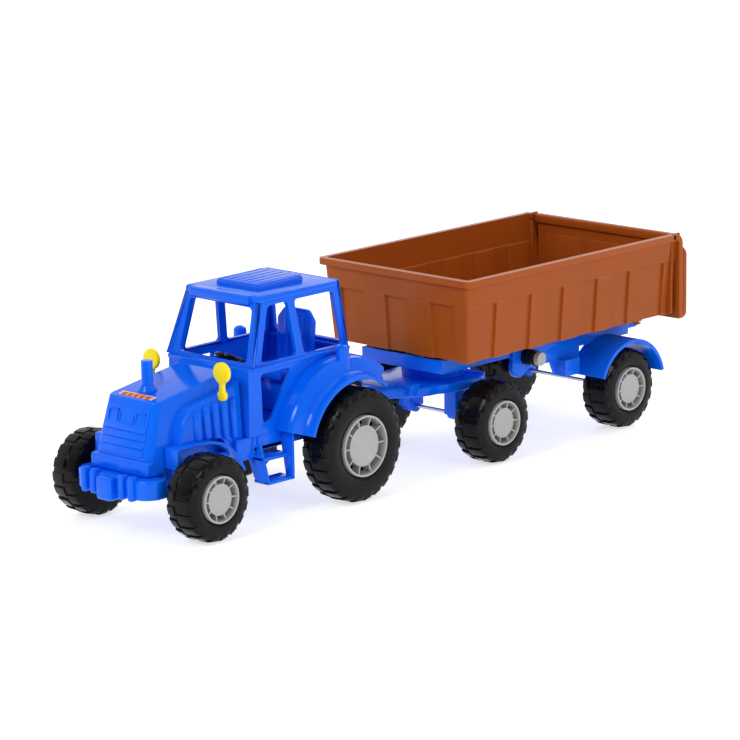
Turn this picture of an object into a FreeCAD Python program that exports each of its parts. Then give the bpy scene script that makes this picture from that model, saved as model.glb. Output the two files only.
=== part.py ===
"""Toy tractor with a tipping trailer: every moulded, turned and pressed piece as its own solid.

Millimetres, +Z up. The tractor faces -Y and +X is its left side. The train is laid out from the front
axle backwards, and save() moves it so that the origin is under the middle of its footprint.
"""
import FreeCAD, Part
import math
import os

Vector = FreeCAD.Vector

# ---------------------------------------------------------------- fits and walls
RUN_GAP = 0.08          # radial clearance of a shaft that turns in its hole
SLIDE_GAP = 0.4         # gap between faces that move past each other
FIT_GAP = 0.2           # gap between mouldings that slip inside one another
WALL = 2.2              # moulded wall of the blue and brown pieces
TYRE_WALL = 1.6         # wall of the hollow tyre halves
ROD_R = 1.5             # steel axle rods and the bed's hinge pin

# ---------------------------------------------------------------- wheels
SMALL_R = 32.5          # front tractor wheels and all four trailer wheels
SMALL_RIM_R = 17.6
LARGE_R = 43.7          # rear tractor wheels
LARGE_RIM_R = 23.4
TYRE_W = 26.0
TYRE_FACE_X = 73.0      # outer sidewall, from the centre line
OUTER_HALF_W = 15.0     # outer tyre half, from the outer sidewall to the seam
SHOULDER = 4.5          # bevel between the sidewall and the tread
RIM_DEPTH = 8.0         # how deep the hub cap sits in the wheel
CAP_PROUD = 1.6         # how far the cap's ring stands out of the sidewall
CAP_RING_W = 1.9
CAP_CUP_SHARE = 0.66    # central disc over cap radius, alike on both sizes of cap
SPOKES = 10
BOSS_R = 4.5

# ---------------------------------------------------------------- the train, from the front axle back
WHEELBASE = 151.5
HITCH_BACK = 52.0       # hitch pin behind the tractor's rear axle
DRAWBAR = 105.5         # hitch pin to king pin
TRAILER_BASE = 153.5    # king pin to the trailer's rear axle
BED_LENGTH = 260.0
BED_HALF = 79.2         # over the rim
BED_DEPTH = 66.0        # underside of the floor to the top of the rim
BED_BEHIND = 59.0       # rear flange of the bed behind the trailer's rear axle

FRONT_Y = 0.0
REAR_Y = FRONT_Y + WHEELBASE
HITCH_Y = REAR_Y + HITCH_BACK
KING_Y = HITCH_Y + DRAWBAR
TAIL_Y = KING_Y + TRAILER_BASE
BED_Y1 = TAIL_Y + BED_BEHIND
BED_Y0 = BED_Y1 - BED_LENGTH

# ---------------------------------------------------------------- levels
BEARING_R = 5.0         # half height of the eyes that hold the rods
RAIL_Z0 = LARGE_R + BEARING_R + 1.3
RAIL_T = 4.0
RAIL_Z1 = RAIL_Z0 + RAIL_T
SILL_Z = RAIL_Z1 + 7.5  # lower edge of the cab
BELT_Z = SILL_Z + 51.5  # window sills
ROOF_Z = BELT_Z + 51.0  # top of the roof plate
DOLLY_Z0 = RAIL_Z1 + SLIDE_GAP
DOLLY_T = 7.0
DOLLY_Z1 = DOLLY_Z0 + DOLLY_T
WHEEL_HEADROOM = 7.4    # trailer frame above the small tyres
TURNTABLE_MIN = 8.0
FRAME_Z0 = max(2 * SMALL_R + WHEEL_HEADROOM, DOLLY_Z1 + SLIDE_GAP + TURNTABLE_MIN)
FRAME_FLOOR = 2.6
FRAME_H = 10.6
FRAME_Z1 = FRAME_Z0 + FRAME_H
BED_Z0 = FRAME_Z1 + 2.0
BED_Z1 = BED_Z0 + BED_DEPTH

# ---------------------------------------------------------------- tractor body
NOSE_Y = -31.0          # front of the lip under the grille
NOSE_TOP_Y = -17.7
NOSE_HALF = 30.0
NOSE_TOP_HALF = 25.5
NOSE_TOP_Z = BELT_Z - 17.5
COWL_Y = 62.0
COWL_Z = BELT_Z - 2.0
PANEL_HALF = 41.5       # cab walls
FLANK_HALF = 36.5       # louvred side panels of the hood, at their foot
FLANK_TOP_HALF = 33.0
PANEL_Y = 0.0
LOUVRES = 5
LOUVRE_R = 2.4
LOUVRE_PITCH = 9.6
BUMPER_HALF = 40.0
BUMPER_Y = NOSE_Y - 9.0
BUMPER_BLOCK_HALF = 7.5
BUMPER_BLOCK_OUT = 7.0  # how far the middle block stands in front of the bumper
BUMPER_RIBS = (-24.0, -14.5, 14.5, 24.0)
BUMPER_RIB_W = 4.6
BUMPER_RIB_OUT = 3.6
BUMPER_Z0 = 30.0
BUMPER_Z1 = 45.0
CAB_Y1 = REAR_Y + 17.0  # rear wall of the cab
CAB_TOP_HALF = 37.4
CAB_TOP_Y0 = COWL_Y + 17.0
CAB_TOP_Y1 = CAB_Y1 - 8.5
POST = 5.0              # width of a cab post
POST_T = 3.2
HATCH_HALF = 22.5
HATCH_T = 4.6
HATCH_INSET_FRONT = 14.0
HATCH_INSET_REAR = 18.0
HATCH_GROOVES = (-15.0, -9.0, -3.0, 3.0, 9.0, 15.0)
HATCH_GROOVE_W = 1.2
HATCH_GROOVE_DEPTH = 0.8
FENDER_GAP = 5.0        # clearance over the rear tyres
FENDER_T = 3.2
FENDER_X = 68.0
FENDER_FRONT_DEG = 160.0
FENDER_REAR_DEG = 44.0
STEP_HALF = 52.0
STEP_Y = COWL_Y + 9.0
STEP_L = 24.0
STEP_DROP = 24.0        # bottom rung below the chassis rail
EXHAUST_R = 4.3
EXHAUST_BASE_R = 7.1
EXHAUST_H = 22.0
STICKER_HALF = 18.0
STICKER_T = 0.3
MIRROR_R = 7.6
MIRROR_X = 32.6
MIRROR_Y = 43.5
MIRROR_T = 4.0
MIRROR_STEM = 17.0
MIRROR_STEM_W = 3.4
MIRROR_FOOT_R = 3.7
MIRROR_FOOT_Z = BELT_Z - 16.5
WHEEL_RING_R = 11.0     # steering wheel
WHEEL_RING_T = 1.7
COLUMN_R = 1.8
COLUMN_TILT = 28.0      # degrees from upright, leaning back to the driver
SCREW_R = 1.25
SCREW_HEAD_R = 3.0
SCREW_HEAD_T = 1.8
SCREW_POST_R = 3.5
SCREW_PLACES = [(x, y) for x in (-20.0, 20.0) for y in (COWL_Y + 20.0, COWL_Y + 46.0)]
HITCH_PIN_R = 3.0
HITCH_HEAD_R = 4.8
TONGUE_HALF = 9.0

# ---------------------------------------------------------------- trailer
KING_PIN_R = 5.0
TURNTABLE_R = 25.0
DOLLY_HALF = 36.0
DOLLY_ARM_X0 = 18.0
DOLLY_ARM_X1 = 30.0
FRAME_HALF = 42.0
FRAME_INSET = 11.0      # front of the frame behind the bed's front rim
WEB_T = 3.0
WEB_DROP = 14.0         # rear side webs below the frame floor
WEB_START = 43.0        # behind the king pin
AXLE_LEG_X = 32.0
TAIL_GAP = 5.0          # clearance over the rear trailer tyres
TAIL_FENDER_T = 3.0
TAIL_FENDER_X = 76.0
TAIL_FRONT_DEG = 158.0
TAIL_REAR_DEG = 14.0
HINGE_BACK = 45.0       # bed hinge behind the rear axle
HINGE_DROP = 8.0        # bed hinge below the bed's floor
KNUCKLE_R = 5.5
EAR_T = 3.4
EAR_R = 4.0
HINGE_PIN_OUT = 1.2    # hinge pin beyond the bed's ears
SHAFT_BACK = 58.0       # tipping shaft behind the king pin
SHAFT_R = 3.5
SHAFT_HUB_R = 6.4
SHAFT_DROP = 1.1        # shaft centre below the frame's underside
LIFT_ARM_CLEAR = 8.3    # lift arm's tip behind the tray's front wall
LIFT_ARM_X = 16.0
LIFT_ARM_W = 7.0
LIFT_ARM_T = 4.6
KNOB_R = 6.1
KNOB_X = 62.0
KNOB_RINGS = 3
DRAFT = 5.0             # how far the bed narrows from rim to floor, each side
RIM_H = 5.6
RIM_OUT = 3.2
TAILGATE_T = 5.0
GATE_PIN_R = 2.0
GATE_PIN_DROP = 5.0
GATE_PIN_IN = 4.5


# ---------------------------------------------------------------- small tools
def box(x0, x1, y0, y1, z0, z1):
    return Part.makeBox(x1 - x0, y1 - y0, z1 - z0, Vector(x0, y0, z0))


def rod_x(radius, x0, x1, y, z):
    return Part.makeCylinder(radius, x1 - x0, Vector(x0, y, z), Vector(1, 0, 0))


def post_z(radius, x, y, z0, z1):
    return Part.makeCylinder(radius, z1 - z0, Vector(x, y, z0))


def plate_x(points, x0, x1):
    """A side profile of (y, z) points, thickened along X."""
    wire = Part.makePolygon([Vector(x0, y, z) for y, z in points + points[:1]])
    return Part.Face(wire).extrude(Vector(x1 - x0, 0, 0))


def plate_y(points, y0, y1):
    """A front profile of (x, z) points, thickened along Y."""
    wire = Part.makePolygon([Vector(x, y0, z) for x, z in points + points[:1]])
    return Part.Face(wire).extrude(Vector(0, y1 - y0, 0))


def plate_z(points, z0, z1):
    """A plan outline of (x, y) points, thickened along Z."""
    wire = Part.makePolygon([Vector(x, y, z0) for x, y in points + points[:1]])
    return Part.Face(wire).extrude(Vector(0, 0, z1 - z0))


def mirrored(shape):
    return shape.mirror(Vector(0, 0, 0), Vector(1, 0, 0))


def both_sides(shape):
    return [shape, mirrored(shape)]


def joined(shapes):
    solid = shapes[0]
    for shape in shapes[1:]:
        solid = solid.fuse(shape)
    merged = solid.removeSplitter()
    return merged if merged.isValid() else solid


def frustum(half0, half1, y0a, y1a, y0b, y1b, z0, z1):
    """A block whose plan changes evenly from a rectangle at z0 to another at z1."""
    wires = []
    for half, ya, yb, z in ((half0, y0a, y1a, z0), (half1, y0b, y1b, z1)):
        corners = [(-half, ya), (half, ya), (half, yb), (-half, yb), (-half, ya)]
        wires.append(Part.makePolygon([Vector(x, y, z) for x, y in corners]))
    return Part.makeLoft(wires, True, True)


def arch(centre_y, centre_z, r_in, r_out, deg0, deg1, x0, x1):
    """Part of a ring about an X axle; 0 degrees points back along +Y and 90 up."""
    def at(radius, deg):
        a = math.radians(deg)
        return Vector(x0, centre_y + radius * math.cos(a), centre_z + radius * math.sin(a))
    middle = (deg0 + deg1) / 2
    outer = Part.Arc(at(r_out, deg0), at(r_out, middle), at(r_out, deg1)).toShape()
    inner = Part.Arc(at(r_in, deg1), at(r_in, middle), at(r_in, deg0)).toShape()
    ends = [Part.makeLine(at(r_out, deg1), at(r_in, deg1)), Part.makeLine(at(r_in, deg0), at(r_out, deg0))]
    return Part.Face(Part.Wire([outer, ends[0], inner, ends[1]])).extrude(Vector(x1 - x0, 0, 0))


def turned(points, y, z):
    """Revolve a closed profile of (x, radius) points about the X line through y, z."""
    wire = Part.makePolygon([Vector(x, y, z + r) for x, r in points + points[:1]])
    return Part.Face(wire).revolve(Vector(0, y, z), Vector(1, 0, 0), 360)


ORIGIN_Y = (BUMPER_Y - BUMPER_BLOCK_OUT + BED_Y1 + TAILGATE_T + SLIDE_GAP) / 2


def save(name, shape):
    placed = shape.copy()
    placed.translate(Vector(0, -ORIGIN_Y, 0))
    placed.exportStep("parts/" + name + ".step")
    print(name, len(placed.Solids), "solid(s)", round(placed.Volume / 1000, 2), "cm3")


# ---------------------------------------------------------------- wheels and axles
def tyre_outer(radius, rim_r, y):
    """Outer half of a hollow tyre, on the +X side, with the recess for the hub cap."""
    face = TYRE_FACE_X
    seam = face - OUTER_HALF_W
    floor = face - RIM_DEPTH
    t = TYRE_WALL
    profile = [
        (seam, radius), (face - SHOULDER, radius), (face, radius - SHOULDER), (face, rim_r + 2.0),
        (face - 1.0, rim_r), (floor, rim_r), (floor, ROD_R), (seam, ROD_R), (seam, BOSS_R),
        (floor - t, BOSS_R), (floor - t, rim_r + t), (face - t, rim_r + t),
        (face - t, radius - SHOULDER - t / 2), (face - SHOULDER - t / 2, radius - t), (seam, radius - t),
    ]
    return turned(profile, y, radius)


def tyre_inner(radius, y):
    """Inner half, a plain cup with a boss for the rod."""
    seam = TYRE_FACE_X - OUTER_HALF_W
    back = TYRE_FACE_X - TYRE_W
    t = TYRE_WALL
    profile = [
        (seam, radius), (back + SHOULDER, radius), (back, radius - SHOULDER), (back, ROD_R),
        (seam, ROD_R), (seam, BOSS_R), (back + t, BOSS_R), (back + t, radius - SHOULDER - t / 2),
        (back + SHOULDER + t / 2, radius - t), (seam, radius - t),
    ]
    return turned(profile, y, radius)


def hub_cap(radius, rim_r, y):
    """Ring, spokes and central cup; the cup covers the end of the rod."""
    floor = TYRE_FACE_X - RIM_DEPTH
    front = TYRE_FACE_X + CAP_PROUD
    ring_r = rim_r - 0.2
    cup_r = ring_r * CAP_CUP_SHARE
    cup_front = front - 3.4
    back_t = 1.2
    profile = [
        (front, ring_r), (floor, ring_r), (floor, cup_r - 1.5), (cup_front - 1.4, cup_r - 1.5),
        (cup_front - 1.4, 0), (cup_front, 0), (cup_front, cup_r), (floor + back_t, cup_r),
        (floor + back_t, ring_r - CAP_RING_W), (front, ring_r - CAP_RING_W),
    ]
    cap = turned(profile, y, radius)
    spoke = box(floor + 0.5, front - 1.2, y + cup_r - 0.5, y + ring_r - 0.5, radius - 0.65, radius + 0.65)
    spokes = []
    for index in range(SPOKES):
        arm = spoke.copy()
        arm.rotate(Vector(0, y, radius), Vector(1, 0, 0), 18 + index * 360 / SPOKES)
        spokes.append(arm)
    return joined([cap] + spokes)


def axle_set(name, radius, rim_r, y):
    """One steel rod with a wheel pressed on each end."""
    rod_end = TYRE_FACE_X - RIM_DEPTH + 2.0
    save(name + "_rod", rod_x(ROD_R, -rod_end, rod_end, y, radius))
    outer, inner, cap = tyre_outer(radius, rim_r, y), tyre_inner(radius, y), hub_cap(radius, rim_r, y)
    for side, place in (("left", lambda s: s), ("right", mirrored)):
        save(name + "_" + side + "_tyre_outer", place(outer))
        save(name + "_" + side + "_tyre_inner", place(inner))
        save(name + "_" + side + "_hub_cap", place(cap))


# ---------------------------------------------------------------- tractor
def bearing_plates(x0, x1, y, axle_z, top_z):
    """A pair of hanging plates whose eyes hold a rod."""
    plate = box(x0, x1, y - 7, y + 7, axle_z, top_z)
    plate = plate.fuse(rod_x(BEARING_R, x0, x1, y, axle_z))
    return both_sides(plate)


def side_step():
    """Ladder step: two flaring webs joined by rungs, hanging outside the rail."""
    z_low = RAIL_Z0 - STEP_DROP
    x_in = PANEL_HALF - WALL
    web = [(x_in, SILL_Z), (PANEL_HALF, SILL_Z), (STEP_HALF, z_low), (x_in, z_low + 4.0)]
    pieces = [plate_y(web, STEP_Y, STEP_Y + WALL), plate_y(web, STEP_Y + STEP_L - WALL, STEP_Y + STEP_L)]
    for rise, reach in ((0.0, STEP_HALF), (STEP_DROP * 0.55, STEP_HALF - 4.6)):
        pieces.append(box(x_in + 1.0, reach, STEP_Y, STEP_Y + STEP_L, z_low + rise, z_low + rise + WALL))
    return joined(pieces)


def chassis():
    """Floor pan with bumper, rod bearings, side steps and the hitch tongue, one moulding."""
    nose_in = NOSE_TOP_HALF - WALL - FIT_GAP
    front = [box(-nose_in, nose_in, NOSE_Y + WALL + FIT_GAP, COWL_Y, RAIL_Z0, RAIL_Z1)]
    front.append(box(-nose_in, nose_in, NOSE_Y + WALL + FIT_GAP, NOSE_Y + 8, BUMPER_Z0 + 2, RAIL_Z1))
    bumper = [(-BUMPER_HALF, NOSE_Y), (-BUMPER_HALF, BUMPER_Y + 8), (-BUMPER_HALF + 6, BUMPER_Y),
              (BUMPER_HALF - 6, BUMPER_Y), (BUMPER_HALF, BUMPER_Y + 8), (BUMPER_HALF, NOSE_Y),
              (nose_in, NOSE_Y + 6), (-nose_in, NOSE_Y + 6)]
    front.append(plate_z(bumper, BUMPER_Z0, BUMPER_Z1))
    front.append(box(-BUMPER_BLOCK_HALF, BUMPER_BLOCK_HALF, BUMPER_Y - BUMPER_BLOCK_OUT, BUMPER_Y + 1,
                     BUMPER_Z0 - 1, BUMPER_Z1 - 1))
    for x in BUMPER_RIBS:
        front.append(box(x - BUMPER_RIB_W / 2, x + BUMPER_RIB_W / 2, BUMPER_Y - BUMPER_RIB_OUT, BUMPER_Y + 1,
                         BUMPER_Z0, BUMPER_Z1 + 1))
    cab_in = PANEL_HALF
    middle = [box(-cab_in, cab_in, COWL_Y - 12, STEP_Y + STEP_L + 8, RAIL_Z0, RAIL_Z1)]
    for x0 in (-cab_in, cab_in - WALL):
        middle.append(box(x0, x0 + WALL, COWL_Y - 12, STEP_Y + STEP_L + 8, RAIL_Z0, SILL_Z))
    back = [box(-cab_in, cab_in, STEP_Y + STEP_L, CAB_Y1, RAIL_Z0, RAIL_Z1)]
    back.append(box(-TONGUE_HALF, TONGUE_HALF, CAB_Y1 - 2, HITCH_Y, RAIL_Z0, RAIL_Z1))
    back.append(post_z(TONGUE_HALF, 0, HITCH_Y, RAIL_Z0, RAIL_Z1))
    eyes = bearing_plates(nose_in - 5.0, nose_in, FRONT_Y, SMALL_R, RAIL_Z1)
    eyes += bearing_plates(33.0, 38.0, REAR_Y, LARGE_R, RAIL_Z1)
    body = joined(front + middle + back + eyes + both_sides(side_step()))
    holes = [rod_x(ROD_R + RUN_GAP, -TYRE_FACE_X, TYRE_FACE_X, y, z)
             for y, z in ((FRONT_Y, SMALL_R), (REAR_Y, LARGE_R))]
    holes.append(post_z(HITCH_PIN_R, 0, HITCH_Y, RAIL_Z0 - 1, RAIL_Z1 + 1))
    holes += [post_z(SCREW_R, x, y, RAIL_Z0 - 1, RAIL_Z1 + 1) for x, y in SCREW_PLACES]
    return body.cut(holes)


def hood_profile(inset):
    """Side view of the engine cover, pulled in all round by inset and open below."""
    i = inset
    bottom = BUMPER_Z1 + 1.4
    return [
        (NOSE_Y + i, bottom), (NOSE_Y + i, bottom + 9 - i), (NOSE_Y + 4 + i, bottom + 11 - i),
        (NOSE_TOP_Y + i, NOSE_TOP_Z - i), (NOSE_TOP_Y + 6, NOSE_TOP_Z + 4 - i), (COWL_Y - i, COWL_Z - i),
        (COWL_Y - i, RAIL_Z1), (COWL_Y - 13, RAIL_Z1),
    ]


def hood():
    """Engine cover, open below: a tapered nose with a louvred panel on each side."""
    bottom = BUMPER_Z1
    nose = plate_x(hood_profile(0), -NOSE_HALF, NOSE_HALF)
    taper = (NOSE_HALF - NOSE_TOP_HALF) / (NOSE_TOP_Z - bottom)
    reach_z = COWL_Z + 10
    top = NOSE_HALF - taper * (reach_z - bottom)
    sides = plate_y([(-NOSE_HALF, bottom), (NOSE_HALF, bottom), (top, reach_z), (-top, reach_z)],
                    NOSE_Y - 1, COWL_Y + 1)
    flank = [(PANEL_Y, SILL_Z), (PANEL_Y + 2, SILL_Z + 14), (PANEL_Y + 9, SILL_Z + 28),
             (PANEL_Y + 22, SILL_Z + 38), (COWL_Y, BELT_Z - 8), (COWL_Y, SILL_Z)]
    flank_sides = [(-FLANK_HALF, SILL_Z), (FLANK_HALF, SILL_Z), (FLANK_TOP_HALF, BELT_Z - 8),
                   (-FLANK_TOP_HALF, BELT_Z - 8)]
    flanks = plate_x(flank, -FLANK_HALF, FLANK_HALF).common(plate_y(flank_sides, PANEL_Y, COWL_Y))
    lip_z = 2 * SMALL_R + 1.2
    lip = box(FLANK_TOP_HALF - 1, FLANK_HALF + 5.5, PANEL_Y - 12, COWL_Y - 14, lip_z, lip_z + 2)
    outer = nose.common(sides).fuse([flanks] + both_sides(lip))
    hollow = [(PANEL_Y + WALL, SILL_Z - 1), (PANEL_Y + WALL + 2, SILL_Z + 14),
              (PANEL_Y + WALL + 9, SILL_Z + 27), (PANEL_Y + WALL + 21, SILL_Z + 36),
              (COWL_Y - WALL, BELT_Z - 8 - WALL), (COWL_Y - WALL, SILL_Z - 1)]
    cavity_half = NOSE_TOP_HALF - WALL
    cavity = plate_x(hood_profile(WALL), -cavity_half, cavity_half)
    cavity = cavity.fuse(box(-cavity_half, cavity_half, NOSE_Y + WALL, COWL_Y - WALL, bottom, RAIL_Z1 + 1))
    room = plate_x(hollow, -FLANK_TOP_HALF + WALL, FLANK_TOP_HALF - WALL)
    shell = outer.cut(cavity).cut(room)
    ribs = []
    for index in range(LOUVRES):
        y = PANEL_Y + 14 + index * LOUVRE_PITCH
        rib = post_z(LOUVRE_R, FLANK_TOP_HALF + 1, y, lip_z + 4, SILL_Z + 29)
        ribs += both_sides(rib)
    seat_y0, seat_y1 = MIRROR_Y - MIRROR_T / 2, MIRROR_Y + MIRROR_T / 2
    foot_low = MIRROR_FOOT_Z - MIRROR_FOOT_R
    seats = both_sides(box(MIRROR_X - MIRROR_FOOT_R, FLANK_HALF, seat_y0, seat_y1, foot_low, COWL_Z))
    return joined([shell] + ribs).cut(seats)


def fender():
    """Rear mudguard with a lower outer band and a higher inner one."""
    r_in = LARGE_R + FENDER_GAP
    x_in = PANEL_HALF - WALL
    band = arch(REAR_Y, LARGE_R, r_in, r_in + FENDER_T, FENDER_REAR_DEG, FENDER_FRONT_DEG, x_in, FENDER_X)
    upper = arch(REAR_Y, LARGE_R, r_in, r_in + 2.2 * FENDER_T, FENDER_REAR_DEG + 4, FENDER_FRONT_DEG, x_in,
                 FENDER_X - 9)
    return joined([band, upper])


def cab_body():
    """Open tub under the windows, with door openings, belt ledge, dashboard bar and rear mudguards."""
    outer = box(-PANEL_HALF, PANEL_HALF, COWL_Y + FIT_GAP, CAB_Y1, SILL_Z, BELT_Z)
    half_in, front_in = PANEL_HALF - WALL, COWL_Y + FIT_GAP + WALL
    inner = box(-half_in, half_in, front_in, CAB_Y1 - WALL, SILL_Z + WALL, BELT_Z + 1)
    tub = outer.cut(inner)
    door = plate_x([(COWL_Y + 13, BELT_Z - 6), (COWL_Y + 44, BELT_Z - 6), (COWL_Y + 22, SILL_Z + 8),
                    (COWL_Y + 15, SILL_Z + 8)], -PANEL_HALF - 1, PANEL_HALF + 1)
    front_gap = box(-NOSE_TOP_HALF + 4, NOSE_TOP_HALF - 4, COWL_Y - 1, front_in + 1, SILL_Z + 6, BELT_Z - 12)
    ledge = box(-PANEL_HALF - 1.5, PANEL_HALF + 1.5, COWL_Y + 2, CAB_Y1, BELT_Z - 2.4, BELT_Z)
    rim_in = PANEL_HALF - 2 * WALL
    ledge = ledge.cut(box(-rim_in, rim_in, COWL_Y + 5, CAB_Y1 - 4, BELT_Z - 3, BELT_Z + 1))
    tyres = [rod_x(LARGE_R + FENDER_GAP, -FENDER_X - 2, -PANEL_HALF, REAR_Y, LARGE_R),
             rod_x(LARGE_R + FENDER_GAP, PANEL_HALF, FENDER_X + 2, REAR_Y, LARGE_R)]
    lamps = [post_z(5.0, side * 53.0, REAR_Y - 1, LARGE_R + LARGE_R + FENDER_GAP + 1, BELT_Z + 2)
             for side in (-1, 1)]
    body = joined([tub, ledge] + both_sides(fender())).cut([door, front_gap])
    posts = [post_z(SCREW_POST_R, x, y, RAIL_Z1, SILL_Z + 1) for x, y in SCREW_PLACES]
    pilots = [post_z(SCREW_R, x, y, RAIL_Z1 - 1, SILL_Z) for x, y in SCREW_PLACES]
    return joined([body] + lamps + posts).cut(tyres + pilots)


def column_point(distance):
    """A point up the steering column from its foot on the dashboard bar."""
    a = math.radians(COLUMN_TILT)
    return Vector(0, COWL_Y + 14 + distance * math.sin(a), BELT_Z - 20 + distance * math.cos(a))


def dashboard():
    """Bar across the cab that carries the steering column; its boss has a blind hole for the column."""
    a = math.radians(COLUMN_TILT)
    lean = Vector(0, math.sin(a), math.cos(a))
    half = PANEL_HALF - WALL
    bar = box(-half, half, COWL_Y + FIT_GAP + WALL, COWL_Y + 16, BELT_Z - 26, BELT_Z - 22)
    boss = Part.makeCylinder(COLUMN_R + 2.4, 8, column_point(-4), lean)
    hole = Part.makeCylinder(COLUMN_R + RUN_GAP, 20, column_point(0), lean)
    return joined([bar, boss]).cut(hole)


def steering_wheel():
    """Rim, three arms and the column it turns on, leaning back to the driver."""
    a = math.radians(COLUMN_TILT)
    lean = Vector(0, math.sin(a), math.cos(a))
    hub = column_point(17)
    rim = Part.makeTorus(WHEEL_RING_R, WHEEL_RING_T, hub, lean)
    column = Part.makeCylinder(COLUMN_R, 18.5, column_point(0.3), lean)
    pieces = [rim, column]
    for index in range(3):
        arm = Part.makeBox(WHEEL_RING_R, 2.2, 1.8, Vector(0, -1.1, -0.9))
        arm.rotate(Vector(0, 0, 0), Vector(0, 0, 1), 90 + index * 120)
        arm.rotate(Vector(0, 0, 0), Vector(1, 0, 0), -COLUMN_TILT)
        arm.translate(hub)
        pieces.append(arm)
    return joined(pieces)


def seat():
    """Driver's seat: squab on a pedestal, with a tall backrest."""
    y0, y1 = CAB_Y1 - 52, CAB_Y1 - WALL - 8
    z0 = SILL_Z + WALL
    squab = box(-19, 19, y0, y1, BELT_Z - 24, BELT_Z - 16)
    base = box(-14, 14, y0 + 8, y1 - 2, z0, BELT_Z - 24)
    low, high = BELT_Z - 18, BELT_Z + 24
    back = plate_x([(y1 - 8, low), (y1 - 4, high), (y1, high), (y1, low)], -19, 19)
    return joined([squab, base, back])


def cab_frame():
    """Window posts and roof plate with its visor, one moulding that sits on the belt ledge."""
    z0, z1 = BELT_Z, ROOF_Z
    y0 = COWL_Y + 4
    outer = frustum(PANEL_HALF, CAB_TOP_HALF, y0, CAB_Y1, CAB_TOP_Y0, CAB_TOP_Y1, z0, z1)
    inner = frustum(PANEL_HALF - POST_T, CAB_TOP_HALF - POST_T, y0 + POST_T, CAB_Y1 - POST_T,
                    CAB_TOP_Y0 + POST_T, CAB_TOP_Y1 - POST_T, z0 - 0.1, z1 - POST_T)
    wide = PANEL_HALF + 10
    lean = (CAB_TOP_Y0 - y0) / (z1 - z0)
    back_lean = (CAB_Y1 - CAB_TOP_Y1) / (z1 - z0)
    sill, head = z0 + 1.5, z1 - 8.0
    mid = COWL_Y + 52
    def front_edge(z):
        return y0 + lean * (z - z0) + POST + 3
    def rear_edge(z):
        return CAB_Y1 - back_lean * (z - z0) - POST
    door = [(front_edge(sill), sill), (mid, sill), (mid - 6, head), (front_edge(head), head)]
    door = plate_x(door, -wide, wide)
    quarter = plate_x([(mid + POST + 1, sill), (rear_edge(sill), sill), (rear_edge(head), head),
                       (mid + POST - 5, head)], -wide, wide)
    glass_low, glass_top = PANEL_HALF - POST - 1.5, CAB_TOP_HALF - POST
    ends = plate_y([(-glass_low, z0 + 2), (glass_low, z0 + 2), (glass_top, z1 - 9), (-glass_top, z1 - 9)],
                   COWL_Y - 20, CAB_Y1 + 20)
    frame = outer.cut([inner, door, quarter, ends])
    roof = box(-CAB_TOP_HALF - 1.6, CAB_TOP_HALF + 1.6, CAB_TOP_Y0 - 2, CAB_TOP_Y1 + 2, z1 - 5, z1)
    visor = box(-CAB_TOP_HALF + 6, CAB_TOP_HALF - 6, CAB_TOP_Y0 - 6, CAB_TOP_Y0, z1 - 8, z1)
    roof = joined([roof, visor]).cut(box(-CAB_TOP_HALF + 2, CAB_TOP_HALF - 2, CAB_TOP_Y0 + 2, CAB_TOP_Y1 - 2,
                                         z1 - 6, z1 - POST_T))
    return joined([frame, roof])


def roof_hatch():
    """Raised lid on the roof, with lengthwise grooves."""
    y0 = CAB_TOP_Y0 + HATCH_INSET_FRONT
    y1 = CAB_TOP_Y1 - HATCH_INSET_REAR
    top = ROOF_Z + HATCH_T
    lid = box(-HATCH_HALF, HATCH_HALF, y0, y1, ROOF_Z, top)
    half = HATCH_GROOVE_W / 2
    grooves = []
    for x in HATCH_GROOVES:
        grooves.append(box(x - half, x + half, y0 + 4, y1 - 4, top - HATCH_GROOVE_DEPTH, top + 1))
    return lid.cut(grooves)


def hood_top(y):
    """Height of the hood's sloping top at a distance along it."""
    start_y, start_z = NOSE_TOP_Y + 6, NOSE_TOP_Z + 4
    return start_z + (COWL_Z - start_z) * (y - start_y) / (COWL_Y - start_y)


def exhaust_stack():
    r = EXHAUST_BASE_R
    low, high = hood_top(-r), hood_top(r)
    flange = post_z(r, 0, 0, low, high).fuse(Part.makeCone(r, EXHAUST_R + 0.6, 4, Vector(0, 0, high)))
    slope = plate_x([(-r, low), (r, low - 1), (r, high)], -r, r)
    return joined([flange, post_z(EXHAUST_R, 0, 0, high, high + EXHAUST_H)]).cut(slope)


def mirror():
    """Flat round mirror on a stem, with a small round foot let into the side panel."""
    head_z = MIRROR_FOOT_Z + MIRROR_STEM
    y0, y1 = MIRROR_Y - MIRROR_T / 2, MIRROR_Y + MIRROR_T / 2
    pieces = [box(MIRROR_X - MIRROR_STEM_W / 2, MIRROR_X + MIRROR_STEM_W / 2, y0, y1, MIRROR_FOOT_Z, head_z)]
    for radius, z in ((MIRROR_FOOT_R, MIRROR_FOOT_Z), (MIRROR_R, head_z)):
        pieces.append(Part.makeCylinder(radius, MIRROR_T, Vector(MIRROR_X, y0, z), Vector(0, 1, 0)))
    return joined(pieces)


def hood_sticker():
    """Paper label that bends over the front edge of the hood, in front of the exhaust."""
    crease_y = NOSE_TOP_Y + 6
    crease = (crease_y, hood_top(crease_y))
    front = (NOSE_TOP_Y + 1.5, NOSE_TOP_Z + 1)
    back_y = -EXHAUST_BASE_R - 0.4
    back = (back_y, hood_top(back_y))
    under = [front, crease, back]
    over = [(y, z + STICKER_T) for y, z in reversed(under)]
    return plate_x(under + over, -STICKER_HALF, STICKER_HALF)


def hitch_pin():
    """Turned pin with a head that keeps the drawbar's eye on the tongue."""
    head_z = DOLLY_Z1 + SLIDE_GAP
    shank = post_z(HITCH_PIN_R, 0, HITCH_Y, RAIL_Z0, head_z + 2.4)
    return joined([shank, post_z(HITCH_HEAD_R, 0, HITCH_Y, head_z, head_z + 2.4)])


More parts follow.
